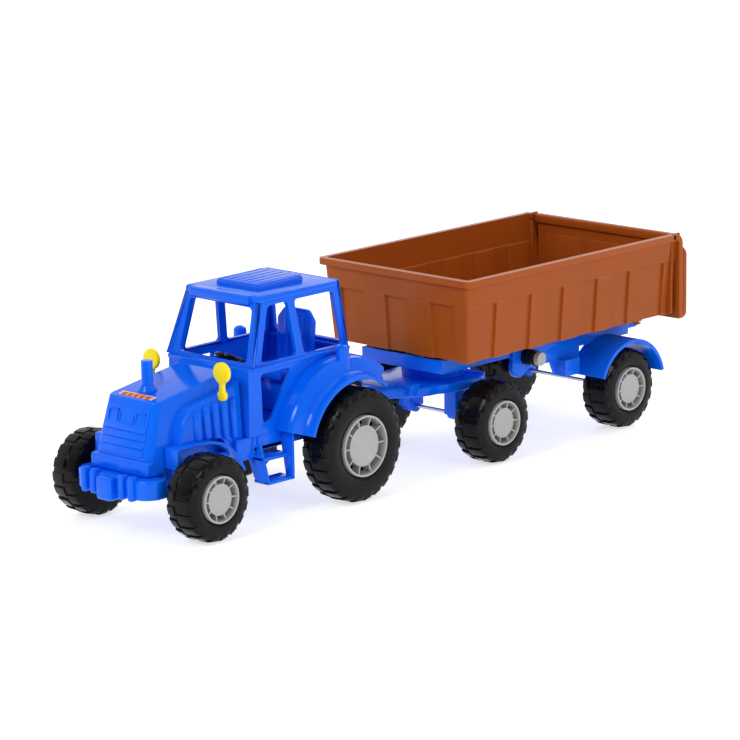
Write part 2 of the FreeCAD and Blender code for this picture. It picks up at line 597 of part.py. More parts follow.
def body_screws():
    """Four screws that hold the chassis to the posts under the cab, heads below the floor pan."""
    screws = []
    for x, y in SCREW_PLACES:
        head = post_z(SCREW_HEAD_R, x, y, RAIL_Z0 - SCREW_HEAD_T, RAIL_Z0)
        screws.append(joined([head, post_z(SCREW_R, x, y, RAIL_Z0 - SCREW_HEAD_T / 2, SILL_Z - 0.5)]))
    return Part.makeCompound(screws)


# ---------------------------------------------------------------- trailer
def dolly():
    """Steered front axle carrier with its drawbar."""
    half = [(TONGUE_HALF, HITCH_Y), (TONGUE_HALF, HITCH_Y + 0.3 * DRAWBAR), (20.0, HITCH_Y + 0.5 * DRAWBAR),
            (DOLLY_HALF - 5, KING_Y - 29), (DOLLY_HALF, KING_Y - 14), (DOLLY_HALF, KING_Y + 16),
            (DOLLY_HALF - 8, KING_Y + 29)]
    outline = half + [(-x, y) for x, y in reversed(half)]
    plate = plate_z(outline, DOLLY_Z0, DOLLY_Z1).fuse(post_z(TONGUE_HALF, 0, HITCH_Y, DOLLY_Z0, DOLLY_Z1))
    arms = []
    for x0 in (-DOLLY_ARM_X1, DOLLY_ARM_X0):
        x1 = x0 + DOLLY_ARM_X1 - DOLLY_ARM_X0
        arms.append(box(x0, x1, KING_Y - 8, KING_Y + 8, SMALL_R, DOLLY_Z0 + 1))
        arms.append(rod_x(BEARING_R, x0, x1, KING_Y, SMALL_R))
    body = joined([plate] + arms)
    return body.cut([rod_x(ROD_R + RUN_GAP, -TYRE_FACE_X, TYRE_FACE_X, KING_Y, SMALL_R),
                     post_z(HITCH_PIN_R + RUN_GAP, 0, HITCH_Y, DOLLY_Z0 - 1, DOLLY_Z1 + 1),
                     post_z(KING_PIN_R + RUN_GAP, 0, KING_Y, DOLLY_Z0 - 1, DOLLY_Z1 + 1)])


def king_pin():
    """Pin of the turntable, with a head under the dolly."""
    head_z = DOLLY_Z0 - SLIDE_GAP
    shank = post_z(KING_PIN_R, 0, KING_Y, head_z - 2.4, FRAME_Z0 + FRAME_FLOOR)
    return joined([shank, post_z(KING_PIN_R + 3.4, 0, KING_Y, head_z - 2.4, head_z)])


FRAME_Y0 = BED_Y0 + FRAME_INSET
STEP_DOWN_Y = KING_Y + WEB_START
HINGE_Y = TAIL_Y + HINGE_BACK
HINGE_Z = BED_Z0 - HINGE_DROP
SHAFT_Y = KING_Y + SHAFT_BACK
SHAFT_Z = FRAME_Z0 - SHAFT_DROP


def tail_fender():
    """Rear trailer mudguard and the web that ties it to the frame."""
    r_in = SMALL_R + TAIL_GAP
    r_out = r_in + TAIL_FENDER_T
    x_web = FRAME_HALF
    band = arch(TAIL_Y, SMALL_R, r_in, r_out, TAIL_REAR_DEG, TAIL_FRONT_DEG, x_web, TAIL_FENDER_X)
    lug = box(x_web, x_web + 12, TAIL_Y - 58, TAIL_Y - 40, FRAME_Z0 - WEB_DROP - 9, FRAME_Z0 - WEB_DROP + 4)
    return [band, lug]


def trailer_frame():
    """Tray under the bed with the turntable disc, rear webs, mudguards and hinge block."""
    web_end = HINGE_Y - KNUCKLE_R - 8
    shell = box(-FRAME_HALF, FRAME_HALF, FRAME_Y0, web_end, FRAME_Z0, FRAME_Z1)
    shell = shell.cut(box(-FRAME_HALF + WALL, FRAME_HALF - WALL, FRAME_Y0 + WALL, web_end - WALL,
                          FRAME_Z0 + FRAME_FLOOR, FRAME_Z1 + 1))
    disc = post_z(TURNTABLE_R, 0, KING_Y, DOLLY_Z1 + SLIDE_GAP, FRAME_Z0 + 1)
    web = plate_x([(STEP_DOWN_Y, FRAME_Z1), (STEP_DOWN_Y, FRAME_Z0 - WEB_DROP + 2),
                   (STEP_DOWN_Y + 6, FRAME_Z0 - WEB_DROP - 3), (STEP_DOWN_Y + 22, FRAME_Z0 - WEB_DROP + 3),
                   (TAIL_Y - 64, FRAME_Z0 - WEB_DROP + 3), (TAIL_Y - 58, FRAME_Z0 - WEB_DROP - 9),
                   (TAIL_Y - 30, FRAME_Z0 - WEB_DROP - 9), (TAIL_Y - 30, FRAME_Z0 - 4),
                   (TAIL_Y + 30, FRAME_Z0 - 4), (web_end, FRAME_Z0 - 4), (web_end, FRAME_Z1)],
                  FRAME_HALF - 0.5, FRAME_HALF + WEB_T)
    legs = bearing_plates(AXLE_LEG_X, AXLE_LEG_X + 5, TAIL_Y, SMALL_R, FRAME_Z0 + 1)
    block = box(-FRAME_HALF + 1, FRAME_HALF - 1, web_end - WALL, HINGE_Y, HINGE_Z - KNUCKLE_R,
                HINGE_Z + KNUCKLE_R)
    knuckle = rod_x(KNUCKLE_R, -FRAME_HALF + 1, FRAME_HALF - 1, HINGE_Y, HINGE_Z)
    pieces = [shell, disc, block, knuckle] + legs + both_sides(web)
    for piece in tail_fender():
        pieces += both_sides(piece)
    body = joined(pieces)
    slot = box(-FRAME_HALF + WALL, FRAME_HALF - WALL, SHAFT_Y - 9, SHAFT_Y + 12, FRAME_Z0 - 1,
               FRAME_Z0 + FRAME_FLOOR + 1)
    return body.cut([slot, rod_x(ROD_R + RUN_GAP, -FRAME_HALF, FRAME_HALF, TAIL_Y, SMALL_R),
                     rod_x(ROD_R, -FRAME_HALF, FRAME_HALF, HINGE_Y, HINGE_Z),
                     rod_x(SHAFT_R + RUN_GAP, -FRAME_HALF - 9, FRAME_HALF + 9, SHAFT_Y, SHAFT_Z),
                     post_z(KING_PIN_R, 0, KING_Y, DOLLY_Z1 - 1, FRAME_Z1)])


def tip_shaft():
    """Cross shaft with the arm that lifts the bed."""
    end = FRAME_HALF + WEB_T
    shaft = rod_x(SHAFT_R, -end, end + 2.4, SHAFT_Y, SHAFT_Z)
    hub = rod_x(SHAFT_HUB_R, LIFT_ARM_X - LIFT_ARM_W / 2, LIFT_ARM_X + LIFT_ARM_W / 2, SHAFT_Y, SHAFT_Z)
    x0, x1 = LIFT_ARM_X - LIFT_ARM_W / 2, LIFT_ARM_X + LIFT_ARM_W / 2
    z0 = FRAME_Z0 + FRAME_FLOOR + 1.4
    arm = box(x0, x1, FRAME_Y0 + WALL + LIFT_ARM_CLEAR, SHAFT_Y, z0, z0 + LIFT_ARM_T)
    neck = box(x0, x1, SHAFT_Y - 5.5, SHAFT_Y, SHAFT_Z, z0 + 1)
    return joined([shaft, hub, arm, neck])


def tip_knob():
    """Ribbed knob pressed on the end of the shaft."""
    x0 = FRAME_HALF + WEB_T + SLIDE_GAP
    knob = rod_x(KNOB_R, x0, KNOB_X, SHAFT_Y, SHAFT_Z)
    grooves = []
    for index in range(KNOB_RINGS):
        x = x0 + 3.0 + index * 3.4
        ring = rod_x(KNOB_R + 1, x, x + 1.2, SHAFT_Y, SHAFT_Z)
        grooves.append(ring.cut(rod_x(KNOB_R - 1.1, x - 1, x + 3, SHAFT_Y, SHAFT_Z)))
    return knob.cut(grooves + [rod_x(SHAFT_R, x0 - 1, FRAME_HALF + WEB_T + 2.4, SHAFT_Y, SHAFT_Z)])


def bed_hinge_pin():
    """Steel rod through the frame's hinge block and the bed's two ears."""
    end = FRAME_HALF + EAR_T + HINGE_PIN_OUT
    return rod_x(ROD_R, -end, end, HINGE_Y, HINGE_Z)


def bed_block(inset, z0, z1):
    """The bed's drafted body, from floor to rim, pulled in by inset."""
    top_half = BED_HALF - RIM_OUT - inset
    low_half = top_half - DRAFT
    front = BED_Y0 + RIM_OUT + inset
    return frustum(low_half, top_half, front + DRAFT, BED_Y1, front, BED_Y1, z0, z1)


GATE_Y = BED_Y1 - GATE_PIN_IN
GATE_Z = BED_Z1 - GATE_PIN_DROP


def bed():
    """Brown tipping body, open at the top and at the tailgate."""
    outer = bed_block(0, BED_Z0, BED_Z1)
    inner = bed_block(WALL, BED_Z0 + WALL, BED_Z1 + 0.1)
    tub = outer.cut(inner)
    rim = box(-BED_HALF, BED_HALF, BED_Y0, BED_Y1, BED_Z1 - RIM_H, BED_Z1)
    mouth = BED_HALF - RIM_OUT - WALL
    front = BED_Y0 + RIM_OUT + WALL
    rim = rim.cut([inner, box(-mouth, mouth, front, BED_Y1 + 1, BED_Z1 - RIM_H - 1, BED_Z1 + 1)])
    flanges = []
    for x0 in (-BED_HALF, BED_HALF - RIM_OUT - WALL - DRAFT):
        flanges.append(box(x0, x0 + RIM_OUT + WALL + DRAFT, BED_Y1 - 3, BED_Y1, BED_Z0, BED_Z1 - 1))
    ears = []
    for x0 in (-FRAME_HALF - EAR_T + 0.6, FRAME_HALF - 0.6):
        ears.append(box(x0, x0 + EAR_T, HINGE_Y - EAR_R, HINGE_Y + EAR_R, HINGE_Z, BED_Z0 + 1))
        ears.append(rod_x(EAR_R, x0, x0 + EAR_T, HINGE_Y, HINGE_Z))
    body = joined([tub, rim] + [flange.cut(inner) for flange in flanges] + ears)
    pins = rod_x(GATE_PIN_R + RUN_GAP, -BED_HALF + 1, BED_HALF - 1, GATE_Y, GATE_Z)
    return body.cut([pins, rod_x(ROD_R + RUN_GAP, -BED_HALF, BED_HALF, HINGE_Y, HINGE_Z)])


def tailgate():
    """Hinged rear panel: an outer tray behind the bed and a neck with pins between its walls."""
    y0 = BED_Y1 + SLIDE_GAP
    y1 = y0 + TAILGATE_T
    z0, z1 = BED_Z0 - 5.0, GATE_Z - GATE_PIN_R - 4.0
    panel = box(-BED_HALF, BED_HALF, y0, y1, z0, z1)
    panel = panel.cut(box(-BED_HALF + WALL, BED_HALF - WALL, y0 + WALL, y1 + 1, z0 + WALL, z1 - WALL))
    neck_half = BED_HALF - RIM_OUT - WALL - DRAFT * GATE_PIN_DROP * 2 / BED_DEPTH - SLIDE_GAP
    neck = box(-neck_half, neck_half, GATE_Y - GATE_PIN_R, y0 + WALL, z1 - WALL, BED_Z1 - 0.4)
    pins = rod_x(GATE_PIN_R, -BED_HALF + 1.4, BED_HALF - 1.4, GATE_Y, GATE_Z)
    return joined([panel, neck, pins])


def main():
    os.makedirs("parts", exist_ok=True)
    axle_set("front_axle", SMALL_R, SMALL_RIM_R, FRONT_Y)
    axle_set("rear_axle", LARGE_R, LARGE_RIM_R, REAR_Y)
    axle_set("dolly_axle", SMALL_R, SMALL_RIM_R, KING_Y)
    axle_set("tail_axle", SMALL_R, SMALL_RIM_R, TAIL_Y)
    save("chassis", chassis())
    save("body_screws", body_screws())
    save("hood", hood())
    save("cab_body", cab_body())
    save("cab_frame", cab_frame())
    save("roof_hatch", roof_hatch())
    save("seat", seat())
    save("dashboard", dashboard())
    save("steering_wheel", steering_wheel())
    save("exhaust_stack", exhaust_stack())
    save("mirror_left", mirror())
    save("mirror_right", mirrored(mirror()))
    save("hood_sticker", hood_sticker())
    save("hitch_pin", hitch_pin())
    save("dolly", dolly())
    save("king_pin", king_pin())
    save("trailer_frame", trailer_frame())
    save("tip_shaft", tip_shaft())
    save("tip_knob", tip_knob())
    save("bed_hinge_pin", bed_hinge_pin())
    save("bed", bed())
    save("tailgate", tailgate())


main()
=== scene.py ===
# %% [markdown]
# # A toy tractor with a tipping trailer
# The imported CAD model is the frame: it says where each piece sits and how it moves. This lesson gives
# every piece its moulded shape and its finish, one piece at a time, and leaves the frame as it is.

# %% Load the frame
import bpy
import bmesh
import math
from mathutils import Matrix, Vector


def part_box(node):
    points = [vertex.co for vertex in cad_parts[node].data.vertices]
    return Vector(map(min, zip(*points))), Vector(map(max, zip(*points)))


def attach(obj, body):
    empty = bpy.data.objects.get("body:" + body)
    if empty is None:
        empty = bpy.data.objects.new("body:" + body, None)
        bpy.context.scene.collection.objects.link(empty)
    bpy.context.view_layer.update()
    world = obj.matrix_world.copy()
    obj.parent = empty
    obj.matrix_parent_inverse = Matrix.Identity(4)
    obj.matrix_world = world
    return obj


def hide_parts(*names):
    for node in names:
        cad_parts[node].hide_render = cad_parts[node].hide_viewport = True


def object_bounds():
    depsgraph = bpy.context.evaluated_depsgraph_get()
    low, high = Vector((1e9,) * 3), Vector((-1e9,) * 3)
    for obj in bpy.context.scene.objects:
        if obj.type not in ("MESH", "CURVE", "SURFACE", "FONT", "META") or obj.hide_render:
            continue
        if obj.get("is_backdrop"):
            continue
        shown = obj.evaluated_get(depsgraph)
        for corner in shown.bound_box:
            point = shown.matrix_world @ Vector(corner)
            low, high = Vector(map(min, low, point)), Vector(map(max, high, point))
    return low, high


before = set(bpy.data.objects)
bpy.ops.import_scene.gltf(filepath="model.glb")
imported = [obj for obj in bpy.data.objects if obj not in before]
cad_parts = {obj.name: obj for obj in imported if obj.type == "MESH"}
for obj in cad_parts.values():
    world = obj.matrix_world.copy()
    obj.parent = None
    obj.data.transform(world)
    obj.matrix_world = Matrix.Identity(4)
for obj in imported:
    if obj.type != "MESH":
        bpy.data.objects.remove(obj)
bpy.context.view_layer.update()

print("frame:", len(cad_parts), "nodes")

# %% [markdown]
# ## Measuring from the front axle
# A maker of this toy would measure everything from the front axle and the ground. The helper below turns
# such millimetres into the frame's metres, and reads the axle's place from the CAD, so nothing drifts.

# %% Millimetres from the front axle
MM = 0.001


def middle(node):
    low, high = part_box(node)
    return (Vector(low) + Vector(high)) / 2


AXLE_Y = middle("front_axle_rod").y


def at(x, y, z):
    return Vector((x * MM, AXLE_Y + y * MM, z * MM))


def from_axle(point):
    """The opposite of at(): a place in the frame, as millimetres from the front axle."""
    return Vector((point[0], point[1] - AXLE_Y, point[2])) / MM


print("front axle at y =", round(AXLE_Y, 4))

# %% [markdown]
# ## Moulded plastic
# Injection-moulded plastic is never one flat colour. The melt leaves faint flow marks, the tool leaves a
# fine grain, and edges that hands rub turn paler and shinier. Noise textures on Object coordinates give
# the flow and the grain. The Pointiness output finds the edges, so wear needs no painted mask.

# %% The plastic recipe


def moulded_plastic(name, colour, deep, rough, grain=0.02, wear=0.12, shine=0.3):
    """Plastic with flow marks, fine grain and rubbed edges."""
    finish = bpy.data.materials.new(name)
    finish.use_nodes = True
    nodes, links = finish.node_tree.nodes, finish.node_tree.links
    shader = nodes["Principled BSDF"]
    place = nodes.new("ShaderNodeTexCoord")

    flow = nodes.new("ShaderNodeTexNoise")
    flow.inputs["Scale"].default_value = 14.0
    flow.inputs["Detail"].default_value = 3.0
    flow.inputs["Distortion"].default_value = 0.8
    links.new(place.outputs["Object"], flow.inputs["Vector"])
    tone = nodes.new("ShaderNodeValToRGB")
    tone.color_ramp.elements[0].position, tone.color_ramp.elements[1].position = 0.3, 0.7
    tone.color_ramp.elements[0].color = (*deep, 1)
    tone.color_ramp.elements[1].color = (*colour, 1)
    links.new(flow.outputs["Fac"], tone.inputs["Fac"])

    shape = nodes.new("ShaderNodeNewGeometry")
    edge = nodes.new("ShaderNodeValToRGB")
    edge.color_ramp.elements[0].position, edge.color_ramp.elements[1].position = 0.53, 0.62
    edge.color_ramp.elements[0].color = (0, 0, 0, 1)
    edge.color_ramp.elements[1].color = (wear, wear, wear, 1)
    links.new(shape.outputs["Pointiness"], edge.inputs["Fac"])
    rubbed = nodes.new("ShaderNodeMix")
    rubbed.data_type = "RGBA"
    rubbed.inputs[7].default_value = tuple(min(1.0, c * 1.5 + 0.06) for c in colour) + (1,)
    links.new(edge.outputs["Color"], rubbed.inputs[0])
    links.new(tone.outputs["Color"], rubbed.inputs[6])
    links.new(rubbed.outputs[2], shader.inputs["Base Color"])

    cloud = nodes.new("ShaderNodeTexNoise")
    cloud.inputs["Scale"].default_value = 90.0
    cloud.inputs["Detail"].default_value = 4.0
    links.new(place.outputs["Object"], cloud.inputs["Vector"])
    gloss = nodes.new("ShaderNodeMapRange")
    gloss.inputs["To Min"].default_value = rough * 0.8
    gloss.inputs["To Max"].default_value = rough * 1.25
    links.new(cloud.outputs["Fac"], gloss.inputs["Value"])
    links.new(gloss.outputs["Result"], shader.inputs["Roughness"])

    pores = nodes.new("ShaderNodeTexNoise")
    pores.inputs["Scale"].default_value = 1600.0
    pores.inputs["Detail"].default_value = 2.0
    links.new(place.outputs["Object"], pores.inputs["Vector"])
    bump = nodes.new("ShaderNodeBump")
    bump.inputs["Strength"].default_value = grain
    bump.inputs["Distance"].default_value = 0.0002
    links.new(pores.outputs["Fac"], bump.inputs["Height"])
    links.new(bump.outputs["Normal"], shader.inputs["Normal"])
    shader.inputs["IOR"].default_value = 1.49
    shader.inputs["Specular IOR Level"].default_value = shine
    return finish


BLUE = moulded_plastic("tractor_blue", (0.001, 0.132, 0.87), (0.001, 0.116, 0.80), 0.12, shine=0.19)
BROWN = moulded_plastic("bed_brown", (0.37, 0.080, 0.010), (0.335, 0.070, 0.008), 0.20, shine=0.14)
YELLOW = moulded_plastic("mirror_yellow", (1.0, 0.80, 0.0), (0.96, 0.75, 0.0), 0.28)
TYRE = moulded_plastic("tyre_black", (0.005, 0.005, 0.005), (0.003, 0.003, 0.003), 0.12, 0.05, 0.02,
                       shine=0.14)
GREY = moulded_plastic("cap_grey", (0.42, 0.42, 0.42), (0.38, 0.38, 0.385), 0.3)
BLACK = moulded_plastic("wheel_black", (0.004, 0.004, 0.005), (0.003, 0.003, 0.004), 0.12)
CREAM = moulded_plastic("label_cream", (0.9, 0.76, 0.5), (0.85, 0.7, 0.45), 0.3)
ORANGE = moulded_plastic("label_orange", (0.85, 0.2, 0.03), (0.78, 0.17, 0.03), 0.3)
WINE = moulded_plastic("label_wine", (0.28, 0.015, 0.01), (0.22, 0.01, 0.01), 0.3)
print("plastics:", [m.name for m in (BLUE, BROWN, YELLOW, TYRE, GREY, BLACK)])

# %% [markdown]
# ## Drawn steel
# The axle rods are bright wire. Drawing leaves fine lines along the rod, so the noise is squeezed across
# the rod and stretched along it with a Mapping node.

# %% The steel recipe


def drawn_steel(name):
    finish = bpy.data.materials.new(name)
    finish.use_nodes = True
    nodes, links = finish.node_tree.nodes, finish.node_tree.links
    shader = nodes["Principled BSDF"]
    shader.inputs["Metallic"].default_value = 1.0
    place = nodes.new("ShaderNodeTexCoord")
    stretch = nodes.new("ShaderNodeMapping")
    stretch.inputs["Scale"].default_value = (8.0, 700.0, 700.0)
    links.new(place.outputs["Object"], stretch.inputs["Vector"])
    lines = nodes.new("ShaderNodeTexNoise")
    lines.inputs["Scale"].default_value = 1.0
    lines.inputs["Detail"].default_value = 3.0
    links.new(stretch.outputs["Vector"], lines.inputs["Vector"])
    tone = nodes.new("ShaderNodeValToRGB")
    tone.color_ramp.elements[0].color = (0.45, 0.45, 0.46, 1)
    tone.color_ramp.elements[1].color = (0.72, 0.72, 0.73, 1)
    links.new(lines.outputs["Fac"], tone.inputs["Fac"])
    links.new(tone.outputs["Color"], shader.inputs["Base Color"])
    gloss = nodes.new("ShaderNodeMapRange")
    gloss.inputs["To Min"].default_value = 0.18
    gloss.inputs["To Max"].default_value = 0.4
    links.new(lines.outputs["Fac"], gloss.inputs["Value"])
    links.new(gloss.outputs["Result"], shader.inputs["Roughness"])
    return finish


STEEL = drawn_steel("rod_steel")
print("metal:", STEEL.name)

# %% [markdown]
# ## Small tools for shaping
# Most pieces here are rounded blocks and rounded slabs joined in one mould. A block starts as a cube, a
# slab as a flat outline that is extruded. Both are then bevelled, because a mould can't make a sharp edge.

# %% Blocks, slabs and finishing a piece


def edges_of(verts):
    """The edges at some vertices, once each and in a fixed order."""
    return list(dict.fromkeys(edge for vert in verts for edge in vert.link_edges))


def faces_of(verts):
    return list(dict.fromkeys(face for vert in verts for face in vert.link_faces))


def bevel(bm, edges, radius, segments=3):
    return bmesh.ops.bevel(bm, geom=edges, offset=radius * MM, offset_type="OFFSET", affect="EDGES",
                           segments=segments, profile=0.5, material=-1, clamp_overlap=True)


def block(bm, corner, opposite, radius=0.0, segments=3):
    """A rounded block between two opposite corners, in millimetres from the front axle."""
    corner, opposite = at(*corner), at(*opposite)
    size = [abs(side) for side in opposite - corner]
    made = bmesh.ops.create_cube(bm, size=1.0, matrix=Matrix.Translation((corner + opposite) / 2)
                                 @ Matrix.Diagonal((*size, 1)))
    if radius:
        bevel(bm, edges_of(made["verts"]), radius, segments)


def slab(bm, points, along, radius=0.0, segments=3):
    """A rounded slab: an outline of millimetre points, extruded along a vector in millimetres."""
    face = bm.faces.new([bm.verts.new(at(*p)) for p in points])
    made = bmesh.ops.extrude_face_region(bm, geom=[face])
    top = [v for v in made["geom"] if isinstance(v, bmesh.types.BMVert)]
    bmesh.ops.translate(bm, vec=Vector(along) * MM, verts=top)
    verts = list(face.verts) + top
    bmesh.ops.recalc_face_normals(bm, faces=faces_of(verts))
    if radius:
        bevel(bm, edges_of(verts), radius, segments)
    return verts


TURNED = {"X": Matrix.Rotation(math.pi / 2, 4, "Y"), "Y": Matrix.Rotation(math.pi / 2, 4, "X"),
          "Z": Matrix.Identity(4)}
ALONG = {"X": Vector((1, 0, 0)), "Y": Vector((0, 1, 0)), "Z": Vector((0, 0, 1))}


def barrel(bm, centre, radius, length, axis, edge=0.0, segments=48, top=None):
    """A turned peg along an axis, with its two rims rounded if an edge radius is given."""
    made = bmesh.ops.create_cone(bm, cap_ends=True, segments=segments, radius1=radius * MM,
                                 radius2=(top or radius) * MM, depth=length * MM,
                                 matrix=Matrix.Translation(at(*centre)) @ TURNED[axis])
    if edge:
        bevel(bm, [e for e in edges_of(made["verts"])
                   if abs((e.verts[0].co - e.verts[1].co).dot(ALONG[axis])) < 1e-5], edge)
    return made["verts"]


def other_side(bm):
    """Copies everything to the other side of the centre line."""
    bmesh.ops.mirror(bm, geom=bm.verts[:] + bm.edges[:] + bm.faces[:], axis="X", merge_dist=1e-5)


def piece(name, bm, body, finish, nodes=(), sharp=40.0):
    """Turns a bmesh into a finished piece that rides on a body and stands for CAD nodes."""
    bmesh.ops.recalc_face_normals(bm, faces=bm.faces)
    mesh = bpy.data.meshes.new(name)
    bm.to_mesh(mesh)
    bm.free()
    for polygon in mesh.polygons:
        polygon.use_smooth = True
    mesh.set_sharp_from_angle(angle=math.radians(sharp))
    made = bpy.data.objects.new(name, mesh)
    bpy.context.scene.collection.objects.link(made)
    mesh.materials.append(finish)
    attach(made, body)
    if nodes:
        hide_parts(*nodes)
    print(name, len(mesh.polygons), "faces")
    return made


def edge_modifier(made, width, segments=2, angle=30.0):
    """A live bevel that softens every edge sharper than the angle."""
    soft = made.modifiers.new("soft_edges", "BEVEL")
    soft.width = width * MM
    soft.segments = segments
    soft.limit_method = "ANGLE"
    soft.angle_limit = math.radians(angle)
    soft.harden_normals = True
    return made


print("shapes to build with: block, slab and barrel")

# %% [markdown]
# ## Rounded copies of CAD pieces
# Some CAD pieces already have the right shape and only need soft edges. Their meshes are loose triangles,
# so a copy is welded, its flat areas are dissolved into whole faces, and a bevel rounds what is left.

# %% Copying and rounding


def rounded_copy(bm, node, radius, segments=3):
    """Adds a welded copy of a CAD node to a bmesh, with its sharp edges rounded."""
    part = bmesh.new()
    part.from_mesh(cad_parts[node].data)
    bmesh.ops.remove_doubles(part, verts=part.verts, dist=2e-6)
    bmesh.ops.dissolve_limit(part, angle_limit=math.radians(0.6), verts=part.verts, edges=part.edges)
    sharp = [e for e in part.edges if len(e.link_faces) == 2 and e.calc_face_angle(0) > math.radians(25)]
    bevel(part, sharp, radius, segments)
    made = bpy.data.meshes.new("copy")
    part.to_mesh(made)
    part.free()
    bm.from_mesh(made)
    bpy.data.meshes.remove(made)


print("dolly in the CAD:", len(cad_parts["dolly"].data.polygons), "triangles")

# %% [markdown]
# ## Tyres
# Each tyre is two hollow halves pressed together, so a thin parting line runs round the tread. The lugs
# on the two halves are staggered, and each lug is a little ramp, higher at its leading edge. The profile
# is swept through one pitch, a few faces are pulled out to make the lug, and the wedge is repeated.

# %% One tyre half
TREAD_DROP = 1.6


def tyre_profile(radius, width, rim):
    """Outline of a tyre half as (distance from the seam, radius), closed round the rod's hole."""
    if rim:
        side = [(width - 0.2, radius - 7.5), (width + 0.1, radius - 10.0), (width, rim + 2.4),
                (width - 0.6, rim + 1.0), (width - 1.8, rim + 0.3), (width - 8.0, rim), (width - 8.0, 1.5)]
    else:
        side = [(width, radius - 8.5), (width, 9.0), (width - 1.2, 7.8), (width - 1.2, 1.5)]
    return [(0, radius - 1.0), (0.5, radius - 1.0), (0.9, radius - TREAD_DROP), (width - 5.0, radius - 1.8),
            (width - 2.2, radius - 2.6), (width - 0.7, radius - 4.6)] + side + [(0, 1.5)]


def tyre_half(node, body, rim, lugs, stagger):
    low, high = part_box(node)
    side = 1 if high[0] > 0 else -1
    inner, outer = sorted((abs(low[0]), abs(high[0])))
    width = (outer - inner) / MM
    radius = (high[2] - low[2]) / 2 / MM
    bm = bmesh.new()
    ring = [bm.verts.new((x * MM, 0, r * MM)) for x, r in tyre_profile(radius, width, rim)]
    edges = [bm.edges.new(pair) for pair in zip(ring, ring[1:] + ring[:1])]
    pitch, strips = math.tau / lugs, 6
    bmesh.ops.spin(bm, geom=ring + edges, cent=(0, 0, 0), axis=(1, 0, 0), angle=pitch, steps=strips,
                   use_merge=False, use_duplicate=False)

    def strip(face):
        centre = face.calc_center_median()
        return int(math.atan2(-centre.y, centre.z) / pitch * strips)

    tread, shoulder = [], []
    for face in bm.faces:
        centre = face.calc_center_median()
        reach = math.hypot(centre.y, centre.z) / MM
        if 1 <= strip(face) <= 4 and centre.x > 0.9 * MM:
            if reach > radius - 2.4:
                tread.append(face)
            elif reach > radius - 3.9 and strip(face) != 4:
                shoulder.append(face)
    for faces, rise in ((tread, TREAD_DROP), (shoulder, 1.5)):
        made = bmesh.ops.extrude_face_region(bm, geom=faces)
        top = [v for v in made["geom"] if isinstance(v, bmesh.types.BMVert)]
        for vert in top:
            lead = math.atan2(-vert.co.y, vert.co.z) / pitch
            grow = 1 + rise * (1.0 - 0.45 * lead) / radius
            bmesh.ops.scale(bm, vec=(1, grow, grow), verts=[vert])
        bmesh.ops.delete(bm, geom=faces, context="FACES")
    if side * stagger:
        turn = Matrix.Rotation(stagger * pitch / 2, 3, "X")
        bmesh.ops.rotate(bm, cent=(0, 0, 0), matrix=turn, verts=bm.verts)
    bmesh.ops.spin(bm, geom=bm.verts[:] + bm.edges[:] + bm.faces[:], cent=(0, 0, 0), axis=(1, 0, 0),
                   angle=pitch * (lugs - 1), steps=lugs - 1, use_merge=False, use_duplicate=True)
    bmesh.ops.remove_doubles(bm, verts=bm.verts, dist=1e-5)
    facing = side if rim else -side
    start = inner if rim else outer
    centre = middle(node)
    bmesh.ops.scale(bm, vec=(facing, 1, 1), verts=bm.verts)
    bmesh.ops.translate(bm, vec=(side * start, centre.y, centre.z), verts=bm.verts)
    made = piece(node + "_tyre", bm, body, TYRE, [node], 50)
    return edge_modifier(made, 0.3)


print("a lug stands", TREAD_DROP, "mm above the tread")

# %% [markdown]
# ## Hub caps
# A cap is a deep ring, a flat round cup in the middle and ten thin spokes between them. Between the
# spokes one looks through to the black wheel, so the cap has no floor of its own. Each round part is an
# outline spun once round the axle, and one spoke is repeated, because that is how a toolmaker turns it.

# %% One hub cap


def spun(bm, points, steps=72):
    """Sweeps a closed outline of (x, radius) millimetres all the way round the X axis."""
    ring = [bm.verts.new((x * MM, 0, r * MM)) for x, r in points]
    edges = [bm.edges.new(pair) for pair in zip(ring, ring[1:] + ring[:1])]
    bmesh.ops.spin(bm, geom=ring + edges, cent=(0, 0, 0), axis=(1, 0, 0), angle=math.tau, steps=steps,
                   use_merge=True, use_duplicate=False)


def hub_cap(node, body):
    low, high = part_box(node)
    side = 1 if high[0] > 0 else -1
    inner, outer = sorted((abs(low[0]), abs(high[0])))
    depth = (outer - inner) / MM
    radius = (high[2] - low[2]) / 2 / MM
    cup = radius * 0.67
    bm = bmesh.new()
    spun(bm, [(0.2, radius), (depth, radius), (depth, radius - 1.5), (0.2, radius - 2.1)])
    front = depth - 2.0
    bead = cup - 0.9
    cup_outline = [(0.2, cup), (front, cup), (front, bead), (front - 0.35, bead - 0.3), (front - 0.3, 0.02),
                   (0.2, 0.02)]
    spun(bm, cup_outline)
    spoke = bmesh.ops.create_cube(bm, size=1.0, matrix=Matrix.Translation(
        ((depth - 2.2) / 2 * MM + 0.0002, 0, (cup + radius - 1.6) / 2 * MM))
        @ Matrix.Diagonal(((depth - 2.4) * MM, 1.1 * MM, (radius - cup) * MM, 1)))["verts"]
    for vert in spoke:
        if vert.co.z > (radius - 3) * MM and vert.co.x > 0.003:
            vert.co.x += 0.9 * MM
    geom = spoke + edges_of(spoke) + faces_of(spoke)
    bmesh.ops.rotate(bm, cent=(0, 0, 0), matrix=Matrix.Rotation(math.radians(18), 3, "X"), verts=spoke)
    bmesh.ops.spin(bm, geom=geom, cent=(0, 0, 0), axis=(1, 0, 0), angle=math.tau * 0.9, steps=9,
                   use_merge=False, use_duplicate=True)
    centre = middle(node)
    bmesh.ops.scale(bm, vec=(side, 1, 1), verts=bm.verts)
    bmesh.ops.translate(bm, vec=(side * inner, centre.y, centre.z), verts=bm.verts)
    made = piece(node + "_ring", bm, body, GREY, [node], 40)
    return edge_modifier(made, 0.28)


